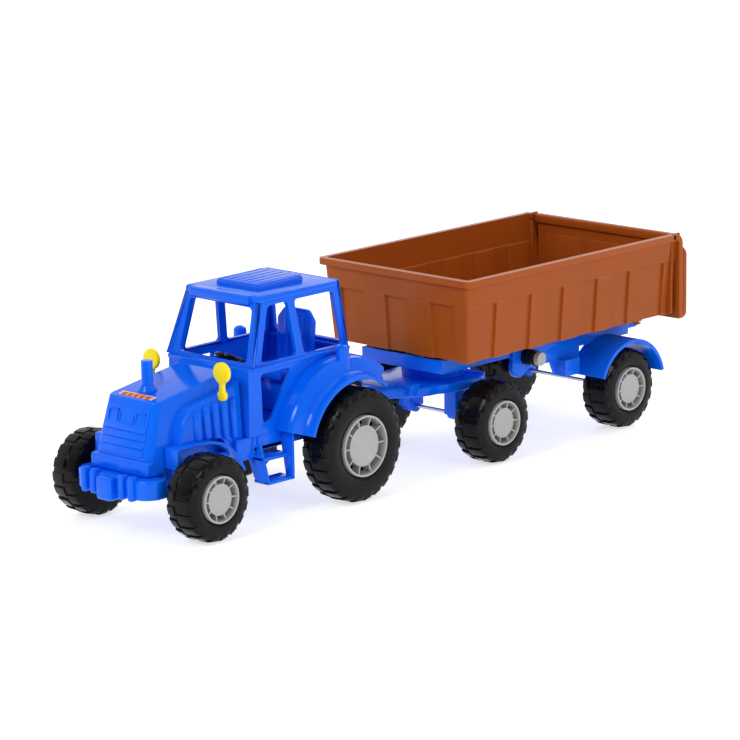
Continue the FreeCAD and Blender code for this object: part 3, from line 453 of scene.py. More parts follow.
print("a cap is ready to fit on each side of", len([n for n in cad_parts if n.endswith("_rod")]), "rods")

# %% [markdown]
# ## All four axles
# The tractor's rear wheels are larger and so carry more lugs. The rods stay as the CAD made them and
# only take the steel finish.

# %% Fit the wheels
LUGS = {"front_axle": 18, "rear_axle": 24, "dolly_axle": 18, "tail_axle": 18}


def dress(node, finish):
    """Gives a carried-over CAD node its finish."""
    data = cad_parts[node].data
    data.materials.clear()
    data.materials.append(finish)


for axle, lugs in LUGS.items():
    dress(axle + "_rod", STEEL)
    for hand in ("_left", "_right"):
        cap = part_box(axle + hand + "_hub_cap")
        rim = (cap[1][2] - cap[0][2]) / 2 / MM + 0.2
        tyre_half(axle + hand + "_tyre_outer", axle, rim, lugs, 0)
        tyre_half(axle + hand + "_tyre_inner", axle, 0, lugs, 1)
        hub_cap(axle + hand + "_hub_cap", axle)

# %% [markdown]
# ## Hood
# The nose is a rounded box that leans back and rises towards the cab. On its front sit a collar and a
# grille of shingled steps; each side has an arched panel with five half-round louvres, and a thin lip
# bends over the front wheel. It could be carved from one subdivided box, but slabs that each have their
# own rounding are easier to place, and they meet in the crisp lines of a mould.

# %% Side panels, louvres and wheel lips
PANEL = [(-3, 64), (-2.6, 71), (0.5, 81), (4.5, 87.5), (10, 91.5), (17, 94), (26, 95.6), (36, 97), (50, 99.8),
         (61, 103.5), (61, 55), (57, 50), (52, 57), (44, 62.5), (34, 65.5), (24, 66.5)]
LEAN = 0.07
PANEL_X = 36.4


def panel_x(z):
    """Where the leaning face of the side panel is at a height."""
    return PANEL_X - LEAN * (z - 62)


bm = bmesh.new()
side = slab(bm, [(22, y, z) for y, z in PANEL], (14.4, 0, 0))
for vert in side:
    if vert.co.x > 30 * MM:
        vert.co.x = panel_x(vert.co.z / MM) * MM
bevel(bm, [e for e in edges_of(side) if all(v.co.x > 30 * MM for v in e.verts)], 1.4)
LOUVRE_TOPS = (88.5, 91.5, 92.5, 92.8, 93.0)
for index, top in enumerate(LOUVRE_TOPS):
    y, low = 14.5 + index * 9.2, 66.5 - 0.25 * index ** 2
    rib = bmesh.ops.create_cone(bm, cap_ends=True, segments=24, radius1=3.1 * MM, radius2=3.1 * MM,
                                depth=(top - low) * MM, matrix=Matrix.Translation(at(0, y, (top + low) / 2)))
    bevel(bm, [e for e in edges_of(rib["verts"]) if e.calc_length() < 2 * MM], 2.6, 5)
    ribbed = [v for v in bm.verts if abs(v.co.x) < 4 * MM]
    for vert in ribbed:
        vert.co.x += panel_x(vert.co.z / MM) * MM + 0.1 * MM
LIP = [(-13, 66.8), (10, 67.4), (22, 66.8), (33, 64), (43, 58), (51, 49.5), (57, 39)]
LIP_UNDER = [(-11, 51.0), (-11, 64.8), (9.6, 65.3), (21.4, 64.7), (32, 62), (41.6, 56.4), (49.2, 48.4),
             (54.8, 38.4)]
GUSSET = [(40, 64), (61, 64), (61, 50), (60, 40), (56, 40), (50, 50)]
slab(bm, [(30, y, z) for y, z in [(-13, 51.0)] + LIP + LIP_UNDER[::-1]], (13.2, 0, 0), 0.7, 2)
slab(bm, [(33, y, z) for y, z in GUSSET], (2.6, 0, 0), 0.6, 2)
other_side(bm)
print("side panels:", len(bm.faces), "faces")

# %% Nose, collar and grille
NOSE = [(-28, 47), (-27.5, 60), (-16.8, 98.8), (62, 111), (62, 55), (-10, 48)]
nose = slab(bm, [(-29.7, y, z) for y, z in NOSE], (59.4, 0, 0))
for vert in nose:
    vert.co.x *= 1 - 0.0026 * (vert.co.z / MM - 47)
corners = [e for e in edges_of(nose) if all(v.co.y < AXLE_Y - 0.016 for v in e.verts)
           and abs(e.verts[0].co.x - e.verts[1].co.x) < 0.01]
bevel(bm, corners, 6.0, 6)
bm.normal_update()
crest = [e for e in bm.edges if len(e.link_faces) == 2 and all(v.co.z > 0.093 and abs(v.co.x) < 0.031
                                                              and v.co.y < AXLE_Y + 0.063 for v in e.verts)
         and min(f.normal.z for f in e.link_faces) < 0.6 < max(f.normal.z for f in e.link_faces)]
bevel(bm, crest, 5.2, 5)
block(bm, (-29.8, -31.2, 46.4), (29.8, -22, 58.0), 2.8, 4)


def on_grille(x, z, out):
    """A point on the leaning front, a little in front of it."""
    return (x, -27.5 + 0.276 * (z - 60) - out, z)


for z0, z1 in ((60.4, 65.4), (65.9, 70.9), (71.4, 76.4), (76.9, 92.8)):
    profile = [on_grille(-21.5, z0, 1.3), on_grille(-21.5, z1, 0.35), on_grille(-21.5, z1, -2),
               on_grille(-21.5, z0, -2)]
    slab(bm, profile, (43, 0, 0), 0.4, 2)


def bead(x0, z0, x1, z1):
    """A thin raised line between two points of the grille."""
    half = 0.45
    corners = [(x0 - half, z0 - half), (x1 + half, z0 - half), (x1 + half, z1 + half), (x0 - half, z1 + half)]
    slab(bm, [on_grille(x, z, 1.7) for x, z in corners], (0, 2.0, 0), 0.3, 2)


for x in (-18.5, -9.5, 9.5, 18.5):
    bead(x, 82.5, x, 90.5)
for x0, x1 in ((-18.5, -9.5), (9.5, 18.5)):
    bead(x0, 90.5, x1, 90.5)
for x in (-7, 7):
    bead(x, 81.5, x, 88)
bead(-7, 81.5, 7, 81.5)
piece("hood_shell", bm, "tractor", BLUE, ["hood"], 35)

# %% [markdown]
# ## Floor pan and bumper
# One moulding carries everything: a floor pan with rod eyes, side sills, the hitch tongue, and a heavy
# bar across the nose with a weight block in the middle and four upright ribs. A single extruded outline
# could give the pan, but blocks and turned eyes let each part keep its own rounding.

# %% Floor pan, rod eyes and tongue
bm = bmesh.new()
PAN_LOW, PAN_HIGH = 50, 54
block(bm, (-22.8, -27, PAN_LOW), (22.8, 72, PAN_HIGH), 0.6, 2)
block(bm, (-35.5, 38, PAN_LOW), (35.5, 72, PAN_HIGH), 0.6, 2)
block(bm, (-41.4, 66, PAN_LOW), (41.4, 168.4, PAN_HIGH), 0.8, 2)
block(bm, (-26.8, -28.4, 33), (26.8, -9, 48), 1.0, 2)
block(bm, (-9, 160, PAN_LOW), (9, 206, PAN_HIGH), 1.0, 2)
EYE_RADIUS = 5.0
for rod, x0, x1 in (("front_axle_rod", 18.2, 22.8), ("rear_axle_rod", 33, 38)):
    rod_y, rod_z = from_axle(middle(rod)).yz
    for hand in (-1, 1):
        block(bm, (hand * x0, rod_y - 7, rod_z), (hand * x1, rod_y + 7, PAN_HIGH - 1), 0.6, 2)
        barrel(bm, (hand * (x0 + x1) / 2, rod_y, rod_z), EYE_RADIUS, x1 - x0, "X", segments=40)
for hand in (-1, 1):
    block(bm, (hand * 38.6, 66, PAN_LOW), (hand * 41.4, 104, 61.6), 0.6, 2)
    block(bm, (hand * 33, 50, PAN_LOW - 5), (hand * 40.5, 70, 61.4), 0.8, 2)
hitch_y = from_axle(middle("hitch_pin")).y
barrel(bm, (0, hitch_y, (PAN_LOW + PAN_HIGH) / 2), 9, PAN_HIGH - PAN_LOW, "Z")
print("floor pan:", len(bm.faces), "faces, tongue to", round(hitch_y, 1), "mm")

# %% Bumper and side steps
HALF_BAR = [(30, -40.3), (36, -37), (40, -30), (40, -20), (24, -20), (24, -27)]
BAR = HALF_BAR + [(-x, y) for x, y in reversed(HALF_BAR)]
slab(bm, [(x, y, 32) for x, y in BAR], (0, 0, 14.6), 1.8, 4)
block(bm, (-7.6, -47, 29), (7.6, -34, 46.4), 2.2, 4)
for x in (-24.2, -14.6, 14.6, 24.2):
    block(bm, (x - 2.6, -44.2, 31), (x + 2.6, -36, 49.6), 2.2, 4)
print("bumper:", len(bm.faces), "faces")
STEP_FRONT = [(25, 61.5), (42.5, 61.5), (53, 26), (38, 29)]
STEP_BACK = [(39, 62), (53, 62), (53, 26), (46, 26.6)]
for hand in (-1, 1):
    slab(bm, [(hand * x, 69.5, z) for x, z in STEP_FRONT], (0, 2.6, 0), 0.6, 2)
    slab(bm, [(hand * x, 95, z) for x, z in STEP_BACK], (0, 2.4, 0), 0.6, 2)
    for z, x0, x1 in ((26, 38, 53), (43, 34, 49)):
        block(bm, (hand * x0, 69.5, z), (hand * x1, 97, z + 2.6), 0.6, 2)
piece("chassis_pan", bm, "tractor", BLUE, ["chassis"])

# %% [markdown]
# ## Small mouldings and the trailer's tray
# The dashboard bar, the exhaust, the drawbar pin, the tipping shaft and the trailer's tray have their
# right shapes in the CAD already. They could be rebuilt by hand, but a rounded copy keeps every hole and
# wall where the moving pieces need it. The tray only gains a round cheek at each end of its shaft.

# %% Rounded body pieces


def soft_piece(name, node, body, radius, extra=None):
    """A rounded copy of a blue CAD piece, with anything that is moulded onto it."""
    bm = bmesh.new()
    rounded_copy(bm, node, radius)
    if extra:
        extra(bm)
    piece(name, bm, body, BLUE, [node], 35)


soft_piece("dash_bar", "dashboard", "tractor", 0.5)
soft_piece("exhaust_pipe", "exhaust_stack", "tractor", 0.5)
soft_piece("drawbar_pin", "hitch_pin", "tractor", 0.4)


def shaft_lobes(bm):
    """Round cheeks round the tipping shaft's holes."""
    for hand in (-1, 1):
        barrel(bm, (hand * 43.4, 359.5, 64.5), 9, 4, "X", 0.8)


soft_piece("frame_tray", "trailer_frame", "trailer", 1.0, shaft_lobes)
soft_piece("lift_shaft", "tip_shaft", "tip_shaft", 0.4)
for node in ("body_screws", "bed_hinge_pin"):
    dress(node, STEEL)
dress("king_pin", BLUE)

# %% [markdown]
# ## Mirrors, roof lid and steering wheel
# The small fittings are pressed into the larger mouldings. The mirrors are flat discs on stems, the lid
# has six lengthwise grooves between raised planks, and the steering wheel is a ring on three arms. All of
# them are built from barrels, slabs and one spun ring, the shapes that a toolmaker would cut.

# %% Mirrors
MIRROR_X, MIRROR_Y, FOOT_Z = 36.6, 40.0, 96.5
for hand, name in ((1, "left"), (-1, "right")):
    bm = bmesh.new()
    x = hand * MIRROR_X
    barrel(bm, (x, MIRROR_Y, FOOT_Z + 17), 7.7, 3.8, "Y", 0.8)
    barrel(bm, (x, MIRROR_Y, FOOT_Z), 4.0, 3.8, "Y", 0.8)
    block(bm, (x - 1.9, MIRROR_Y - 1.7, FOOT_Z), (x + 1.9, MIRROR_Y + 1.7, FOOT_Z + 14), 0.6, 2)
    shoulders = [(x - 4.2, FOOT_Z + 12), (x - 2, FOOT_Z + 8.4), (x + 2, FOOT_Z + 8.4), (x + 4.2, FOOT_Z + 12)]
    slab(bm, [(px, MIRROR_Y - 1.8, pz) for px, pz in shoulders], (0, 3.6, 0), 0.5, 2)
    piece("mirror_disc_" + name, bm, "tractor", YELLOW, ["mirror_" + name])

# %% Roof lid
bm = bmesh.new()
lid = slab(bm, [(-22.5, 93, 162), (-22.5, 93, 166.9), (-22.5, 142, 168.0), (-22.5, 142, 162)], (45, 0, 0))
bevel(bm, [e for e in edges_of(lid) if abs(e.verts[0].co.z - e.verts[1].co.z) > 3 * MM], 3.2, 5)
bm.normal_update()
bevel(bm, [e for e in bm.edges if all(v.co.z > 166 * MM for v in e.verts)
           and e.calc_face_angle(0) > 0.9], 1.0, 3)
GROOVES = (-17.5, -10.5, -3.5, 3.5, 10.5, 17.5)
edges_x = [-20.6] + [x for groove in GROOVES for x in (groove - 0.55, groove + 0.55)] + [20.6]
for x0, x1 in zip(edges_x[::2], edges_x[1::2]):
    plank = [(95.2, 166.4), (95.2, 167.8), (139.8, 168.7), (139.8, 167.4)]
    slab(bm, [(x0, y, z) for y, z in plank], (x1 - x0, 0, 0), 0.3, 2)
for y0, y1, z in ((94.6, 96.4, 167.75), (138.6, 140.4, 168.62)):
    block(bm, (-20.6, y0, z - 1.4), (20.6, y1, z), 0.3, 2)
piece("roof_lid", bm, "tractor", BLUE, ["roof_hatch"])

# %% Steering wheel
TILT = math.radians(28)
lean = Vector((0, math.sin(TILT), math.cos(TILT)))
foot = at(0, 76, 93)
hub = foot + lean * 20.2 * MM
bm = bmesh.new()
ring = [bm.verts.new((11 * MM + 1.7 * MM * math.cos(a), 0, 1.7 * MM * math.sin(a)))
        for a in (math.tau * step / 14 for step in range(14))]
ring_edges = [bm.edges.new(pair) for pair in zip(ring, ring[1:] + ring[:1])]
bmesh.ops.spin(bm, geom=ring + ring_edges, cent=(0, 0, 0), axis=(0, 0, 1), angle=math.tau, steps=56,
               use_merge=True, use_duplicate=False)
for index in range(3):
    spread = Matrix.Rotation(math.tau * index / 3 + math.pi / 2, 4, "Z")
    arm_size = Matrix.Diagonal((11 * MM, 2.6 * MM, 1.8 * MM, 1))
    arm = bmesh.ops.create_cube(bm, size=1.0, matrix=spread @ Matrix.Translation((5.5 * MM, 0, 0)) @ arm_size)
    bevel(bm, edges_of(arm["verts"]), 0.5, 2)
for radius, low, high in ((1.8, -19.8, 1.0), (3.4, -1.4, 1.9)):
    column = bmesh.ops.create_cone(bm, cap_ends=True, segments=32, radius1=radius * MM, radius2=radius * MM,
                                   depth=(high - low) * MM,
                                   matrix=Matrix.Translation((0, 0, (high + low) / 2 * MM)))
    rims = [e for e in edges_of(column["verts"]) if abs(e.verts[0].co.z - e.verts[1].co.z) < 1e-5]
    bevel(bm, rims, 0.4, 2)
bmesh.ops.transform(bm, matrix=Matrix.Translation(hub) @ Matrix.Rotation(-TILT, 4, "X"), verts=bm.verts)
piece("wheel_and_column", bm, "steering", BLACK, ["steering_wheel"])

# %% Label
CREASE = -11.7


def hood_height(y):
    """Height of the hood's top at a distance from the front axle."""
    if y < CREASE:
        return 99.5 + (y - CREASE) * 2 / 3
    return 99.5 + (y - CREASE) * 11.5 / 73.7


def label(bm, x0, x1, y0, y1, lift):
    stops = [y0, CREASE, y1] if y0 < CREASE < y1 else [y0, y1]
    line = [(y, hood_height(y) + lift) for y in stops]
    under = [(y, z - 0.5) for y, z in reversed(line)]
    slab(bm, [(x0, y, z) for y, z in line + under], (x1 - x0, 0, 0))


bm = bmesh.new()
label(bm, -17, 17, -15.0, -7.3, 0.6)
piece("label_paper", bm, "tractor", CREAM, ["hood_sticker"])
bm = bmesh.new()
label(bm, -15.8, 15.8, -14.2, -8.1, 0.68)
piece("label_field", bm, "tractor", ORANGE)
bm = bmesh.new()
for x in (-12, -6, 0, 6, 12):
    label(bm, x - 1.1, x + 1.1, -13.4, -9.1, 0.76)
piece("label_bars", bm, "tractor", WINE)

# %% Knob of the tipping shaft


def spun_x(name, points, y, z, body, finish, nodes=()):
    """A turned piece on an axis along X, from a closed outline of (x, radius)."""
    bm = bmesh.new()
    spun(bm, points, 56)
    bmesh.ops.translate(bm, vec=at(0, y, z), verts=bm.verts)
    return edge_modifier(piece(name, bm, body, finish, nodes, 30), 0.3)


shaft_y, shaft_z = from_axle(middle("tip_knob")).yz
face = [(57.6, 0.02), (57.6, 5.3), (61.9, 5.3), (61.9, 0.02)]
spun_x("knob", face, shaft_y, shaft_z, "tip_shaft", GREY, ["tip_knob"])
RING_WIDTH, RING_PITCH = 2.8, 4.0
rings = [(45.4, 0.02)]
for start, groove in ((45.4, 5.2), (45.4 + RING_PITCH, 5.2), (45.4 + 2 * RING_PITCH, 5.0)):
    end = start + RING_WIDTH
    rings += [(start, 6.4), (end, 6.4), (end, groove), (start + RING_PITCH, groove)]
rings[-1] = (57.6, 5.0)
rings.append((57.6, 0.02))
spun_x("knob_rings", rings, shaft_y, shaft_z, "tip_shaft", BLACK)

# %% [markdown]
# ## Window frame
# The posts and the roof are one moulding. Each wall is a flat face; insetting it leaves a frame round the
# window, and a vertex bevel rounds the window's corners. The four walls are welded along their shared
# edges and given one thickness, so the corner posts come out solid.

# %% Walls with windows


def pane(bm, outer, inner, radius):
    """One wall region with a window in it, both given by four corners."""
    face = bm.faces.new([bm.verts.new(at(*p)) for p in outer])
    bmesh.ops.inset_region(bm, faces=[face], thickness=1 * MM, use_boundary=True, use_even_offset=True)
    for vert, point in zip(face.verts, inner):
        vert.co = at(*point)
    hole = sum((at(*p) for p in inner), Vector()) / len(inner)
    bmesh.ops.bevel(bm, geom=list(face.verts), offset=radius * MM, offset_type="OFFSET", affect="VERTICES",
                    segments=5, profile=0.5, material=-1, clamp_overlap=True)
    near = [f for f in bm.faces if (f.calc_center_median() - hole).length < 9 * MM]
    bmesh.ops.delete(bm, geom=[max(near, key=lambda f: f.calc_area())], context="FACES")


def thicken(bm, thickness):
    """Welds the panes, turns their faces outwards and adds the thickness on that side."""
    bmesh.ops.remove_doubles(bm, verts=bm.verts, dist=1e-5)
    bmesh.ops.recalc_face_normals(bm, faces=bm.faces)
    middle_x = sum(v.co.x * (1 if v.normal.x > 0 else -1) for v in bm.verts)
    if middle_x < 0:
        bmesh.ops.reverse_faces(bm, faces=bm.faces)
    bmesh.ops.solidify(bm, geom=bm.faces[:], thickness=thickness * MM)


SILL, ROOF = 112.4, 163
CAB_HALF = 41.5


def side_point(hand, y, z):
    """A point on the leaning side wall of the window frame."""
    return (hand * (CAB_HALF - 4.1 * (z - SILL) / 51), y, z)


bm = bmesh.new()
for hand in (-1, 1):
    door = [(66, SILL), (117, SILL), (111, ROOF), (78.8, ROOF)]
    door_glass = [(75.5, 114.8), (113.5, 114.8), (107.5, 156), (86.5, 155.6)]
    rear = [(117, SILL), (168.5, SILL), (160.2, ROOF), (111, ROOF)]
    rear_glass = [(120.8, 114.8), (163, 114.8), (155.8, 156.2), (114.8, 156.2)]
    for wall, glass in ((door, door_glass), (rear, rear_glass)):
        pane(bm, [side_point(hand, y, z) for y, z in wall], [side_point(hand, y, z) for y, z in glass], 3.4)
for y_low, y_high in ((66, 78.8), (168.5, 160.2)):
    slope = (y_high - y_low) / (ROOF - SILL)
    wall = [(-CAB_HALF, SILL), (CAB_HALF, SILL), (37.5, ROOF), (-37.5, ROOF)]
    glass = [(-35, 115.6), (35, 115.6), (32, 155), (-32, 155)]
    pane(bm, [(x, y_low + slope * (z - SILL), z) for x, z in wall],
         [(x, y_low + slope * (z - SILL), z) for x, z in glass], 3.6)
thicken(bm, 3.2)
for hand in (-1, 1):
    post = [(39.9, 69.4, 114), (41.9, 70.6, 114), (38.4, 81.6, 158), (36.4, 80.4, 158)]
    slab(bm, [(hand * x, y, z) for x, y, z in post], (0, -1.4, 0), 0.5, 2)
block(bm, (-38.8, 77, 157.6), (38.8, 162, 163.8), 2.8, 4)
block(bm, (-30.5, 72.6, 156.6), (30.5, 84, 163.9), 2.4, 4)
cab = piece("cab_windows", bm, "tractor", BLUE, ["cab_frame"])
edge_modifier(cab, 0.9, 3)

# %% [markdown]
# ## Cab tub and rear mudguards
# The tub is a box with a door opening on each side, rounded like the windows. The mudguards are a
# stepped cross-section swept round the rear axle, and a domed lamp stands on each. Thin sheets that are
# thickened in one go keep the wall even, as a mould has to.

# %% Tub, belt and mudguards
FLOOR, BELT = 61.5, 113
CAB_FRONT, CAB_MIDDLE, CAB_BACK = 62.2, 116, 168.5


def swept(bm, points, axle_y, axle_z, start, turn, steps=28):
    """Sweeps a closed (x, radius) outline part of the way round an axle and closes its ends."""
    ring = [bm.verts.new(at(x, axle_y, axle_z + r)) for x, r in points]
    edges = [bm.edges.new(pair) for pair in zip(ring, ring[1:] + ring[:1])]
    centre = at(0, axle_y, axle_z)
    bmesh.ops.rotate(bm, cent=centre, matrix=Matrix.Rotation(math.radians(start), 3, "X"), verts=ring)
    bmesh.ops.spin(bm, geom=ring + edges, cent=centre, axis=(1, 0, 0), angle=math.radians(turn),
                   steps=steps, use_merge=False, use_duplicate=False)
    ends = [e for e in bm.edges if len(e.link_faces) == 1]
    bmesh.ops.holes_fill(bm, edges=ends, sides=0)


bm = bmesh.new()
for hand in (-1, 1):
    x = hand * CAB_HALF
    wall = [(x, CAB_FRONT, FLOOR), (x, CAB_MIDDLE, FLOOR), (x, CAB_MIDDLE, BELT), (x, CAB_FRONT, BELT)]
    opening = [(x, 76.5, 70), (x, 84.5, 70), (x, 106.5, 107), (x, 74.8, 107)]
    pane(bm, wall, opening, 3.6)
    plain = [(CAB_MIDDLE, FLOOR), (CAB_BACK, FLOOR), (CAB_BACK, BELT), (CAB_MIDDLE, BELT)]
    bm.faces.new([bm.verts.new(at(x, y, z)) for y, z in plain])
for y in (CAB_FRONT, CAB_BACK):
    end = [(-CAB_HALF, FLOOR), (CAB_HALF, FLOOR), (CAB_HALF, BELT), (-CAB_HALF, BELT)]
    bm.faces.new([bm.verts.new(at(x, y, z)) for x, z in end])
floor_edge = [(-CAB_HALF, y) for y in (CAB_FRONT, CAB_MIDDLE, CAB_BACK)]
floor_edge += [(-x, y) for x, y in reversed(floor_edge)]
bm.faces.new([bm.verts.new(at(x, y, FLOOR)) for x, y in floor_edge])
thicken(bm, 2.2)
cowl = [(48, 107.5), (63, 112.6), (66, 112.6), (66, 100), (50, 100)]
slab(bm, [(-27, y, z) for y, z in cowl], (54, 0, 0), 1.0, 3)
rear_y, rear_z = from_axle(middle("rear_axle_rod")).yz
BELT_BARS = ((-42.4, 61.8, 42.4, 67.4), (-43, 165, 43, 168.8), (-43, 66, -39, 168.8), (39, 66, 43, 168.8))
for x0, y0, x1, y1 in BELT_BARS:
    block(bm, (x0, y0, 110.2), (x1, y1, 113.2), 0.6, 2)
for hand in (-1, 1):
    guard = [(40.5, 48.9), (66.5, 48.9), (68, 49.4), (68, 51.4), (66.6, 52.6), (61, 53.2), (59.2, 54.4),
             (58.4, 56.5), (57.6, 62), (56.6, 64.2), (54.6, 65.4), (52, 65.8), (40.5, 65.8)]
    swept(bm, [(hand * x, r) for x, r in guard], rear_y, rear_z, 73, -111)
    block(bm, (hand * 40, 96, 60), (hand * 53, 99, 64), 0.8, 2)
    barrel(bm, (hand * 53.5, rear_y - 2, 104), 5.4, 22, "Z", segments=32, top=5.0)
    dome = Matrix.Translation(at(hand * 53.5, rear_y - 2, 115)) @ Matrix.Diagonal((1, 1, 0.7, 1))
    bmesh.ops.create_uvsphere(bm, u_segments=32, v_segments=16, radius=5.0 * MM, matrix=dome)
tub = piece("cab_tub", bm, "tractor", BLUE, ["cab_body"])
edge_modifier(tub, 0.7, 3)

# %% [markdown]
# ## Seat
# One hollow moulding: a squab on a pedestal and a tall back with two upright ribs and a rounded top. It
# could be sculpted, but every face is plain, so rounded blocks and slabs are enough.

# %% Squab, pedestal and back
bm = bmesh.new()
block(bm, (-19, 118, 90), (19, 157, 98), 3, 4)
block(bm, (-14, 125, 64.2), (14, 155, 91), 2, 3)
half_back = [(18, 151, 95), (18.5, 153.5, 130), (12, 154.4, 138)]
back_outline = half_back + [(-x, y, z) for x, y, z in reversed(half_back)]
slab(bm, back_outline, (0, 6, 0), 2.4, 4)
for x in (-9.5, 4.5):
    slab(bm, [(x, 149.6, 98), (x + 5, 149.6, 98), (x + 5, 152.4, 134), (x, 152.4, 134)], (0, 4, 0), 1.6, 3)
piece("driver_seat", bm, "tractor", BLUE, ["seat"])

# %% [markdown]
# ## Bed
# The tipping bed is a drafted tub: it narrows downwards so that it leaves its mould. Upright recesses
# stiffen its thin walls below a smooth band. The walls are one sheet, cut along the recess edges; the
# recesses are pushed in and the sheet is given its wall thickness.

# %% Walls with recesses
BED_DEPTH, BED_TOP = 66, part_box("bed")[1][2] / MM
BED_FLOOR = BED_TOP - BED_DEPTH
BED_FRONT, BED_BACK = 261.5, 521.5
BAND, RECESS, STEP_IN = BED_TOP - 22.3, 2.5, 0.5
SIDE_RECESSES = [(280.6, 300.2), (320.0, 341.2), (359.1, 379.5), (400.1, 420.9), (439.4, 460.6),
                 (480.8, 503.7)]
BED_HALF, DRAFT, WALL = 76, 5.0, 2.0
FRONT_RECESSES = [(-59, -35), (-12, 12), (35, 59)]
bm = bmesh.new()
wall_front = BED_FRONT + 3.2
size = Vector((2 * BED_HALF, BED_BACK - wall_front, BED_DEPTH)) * MM
centre = at(0, (BED_BACK + wall_front) / 2, BED_FLOOR + BED_DEPTH / 2)
walls = bmesh.ops.create_cube(bm, size=1.0, matrix=Matrix.Translation(centre) @ Matrix.Diagonal((*size, 1)))
for vert in walls["verts"]:
    if vert.co.z < centre.z:
        vert.co.x *= 1 - DRAFT / BED_HALF
        if vert.co.y < centre.y:
            vert.co.y += DRAFT * MM
bm.normal_update()
opened = [f for f in bm.faces if f.normal.z > 0.9 or f.normal.y > 0.9]
bmesh.ops.delete(bm, geom=opened, context="FACES")
upright = [e for e in bm.edges if abs(e.verts[0].co.z - e.verts[1].co.z) > 0.05
           and all(v.co.y < centre.y for v in e.verts)]
bevel(bm, upright, 4.5, 5)


def cut(bm, point, normal):
    bmesh.ops.bisect_plane(bm, geom=bm.verts[:] + bm.edges[:] + bm.faces[:], plane_co=point, plane_no=normal)


HALF = 0.35
for y in [edge for pair in SIDE_RECESSES for edge in pair]:
    for shift in (-HALF, HALF):
        cut(bm, at(0, y + shift, 0), (0, 1, 0))
for x in [edge for pair in FRONT_RECESSES for edge in pair]:
    for shift in (-HALF, HALF):
        cut(bm, at(x + shift, 0, 0), (1, 0, 0))
for shift in (-HALF, HALF):
    cut(bm, at(0, 0, BAND + shift), (0, 0, 1))


def within(value, spans):
    return any(a + HALF - 0.1 < value < b - HALF + 0.1 for a, b in spans)


for vert in bm.verts:
    x, y, z = from_axle(vert.co)
    inward = DRAFT * (BED_TOP - z) / BED_DEPTH
    outline, front_line = BED_HALF - inward, wall_front + inward
    if z < BAND - HALF + 0.1:
        if abs(x) > outline - 0.5:
            vert.co.x -= math.copysign((RECESS if within(y, SIDE_RECESSES) else STEP_IN) * MM, vert.co.x)
        if y < front_line + 0.5:
            vert.co.y += (RECESS if within(x, FRONT_RECESSES) else STEP_IN) * MM
bmesh.ops.solidify(bm, geom=bm.faces[:], thickness=WALL * MM)
print("bed walls:", len(bm.faces), "faces")

# %% Rim, rear strips and hinge ears
mouth, rim_half, rim_end = 74.2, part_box("bed")[1][0] / MM, BED_BACK - 9
HALF_RIM = [(rim_half, BED_FRONT), (rim_half, rim_end), (mouth, rim_end), (mouth, BED_FRONT + 5)]
RIM = HALF_RIM + [(-x, y) for x, y in reversed(HALF_RIM)]
rim = slab(bm, [(x, y, BED_TOP - 5.2) for x, y in RIM], (0, 0, 5.2))
bevel(bm, [e for e in edges_of(rim) if abs(e.verts[0].co.z - e.verts[1].co.z) > 0.003
           and e.verts[0].co.y < centre.y], 5.0, 6)
quarter = [math.radians(90 - step * 15) for step in range(7)]
bend = [(BED_BACK - 8 + 8 * math.cos(a), BED_TOP - 8 + 8 * math.sin(a)) for a in quarter]
inner_bend = [(BED_BACK - 8 + 3.4 * math.cos(a), BED_TOP - 8 + 3.4 * math.sin(a)) for a in reversed(quarter)]
hook = [(BED_BACK - 12, BED_TOP)] + bend + [(BED_BACK, BED_FLOOR - 3), (BED_BACK - 4.6, BED_FLOOR - 3)]
hook += inner_bend + [(BED_BACK - 12, BED_TOP - 4.6)]
ear_y, ear_z = from_axle(middle("bed_hinge_pin")).yz
half_ear = [(5, BED_FLOOR + 1), (4, ear_z), (2.4, ear_z - 3.4)]
ear = [(ear_y + y, z) for y, z in half_ear] + [(ear_y - y, z) for y, z in reversed(half_ear)]
STRIP_Y = (510.5, 512.5)
strip_outline = [(STRIP_Y[0], BED_FLOOR + 1), (STRIP_Y[1], BED_FLOOR + 1), (STRIP_Y[1], BED_TOP - 6),
                 (STRIP_Y[0], BED_TOP - 6)]
for hand in (-1, 1):
    slab(bm, [(hand * 72.5, y, z) for y, z in hook], (hand * 6.7, 0, 0), 0.9, 3)
    slab(bm, [(hand * 71, y, z) for y, z in strip_outline], (hand * 5, 0, 0), 0.6, 2)
    slab(bm, [(hand * 42.6, y, z) for y, z in ear], (hand * 2.6, 0, 0), 0.6, 2)
bed = piece("bed_tub", bm, "bed", BROWN, ["bed"])
edge_modifier(bed, 0.55, 3, 25)

# %% [markdown]
# ## Tailgate
# The tailgate hangs from two pins in the bed's side walls. Behind the bed it is a wide padded panel;
# between the walls it is a plain board with a rail at the height of the rim. A block with two passes of
# bevel gives the pillow edge: first the four corners, then the whole outline.

# %% Panel, board and rail
bm = bmesh.new()
gate = bmesh.ops.create_cube(bm, size=1.0, matrix=Matrix.Translation(at(0, 525, BED_FLOOR + 24.5))
                             @ Matrix.Diagonal((158 * MM, 5.4 * MM, 60 * MM, 1)))["verts"]
bevel(bm, [e for e in edges_of(gate) if abs(e.verts[0].co.y - e.verts[1].co.y) > 0.004], 7, 6)
bm.normal_update()
bevel(bm, [e for e in bm.edges if e.calc_face_angle(0) > 0.8], 1.8, 4)
block(bm, (-71, 517.4, BED_FLOOR + 2), (71, 523.4, BED_TOP - 2), 1.0, 3)
block(bm, (-72, 514.4, BED_TOP - 8), (72, 521.4, BED_TOP - 0.6), 1.6, 3)
for x0, x1 in ((-62, -24), (-18, 18), (24, 62)):
    block(bm, (x0, 516.6, BED_FLOOR + 10), (x1, 518.4, BED_TOP - 16), 0.8, 3)
for hand in (-1, 1):
    barrel(bm, (hand * 74.2, 517, BED_TOP - 5), 2, 7, "X", segments=24)
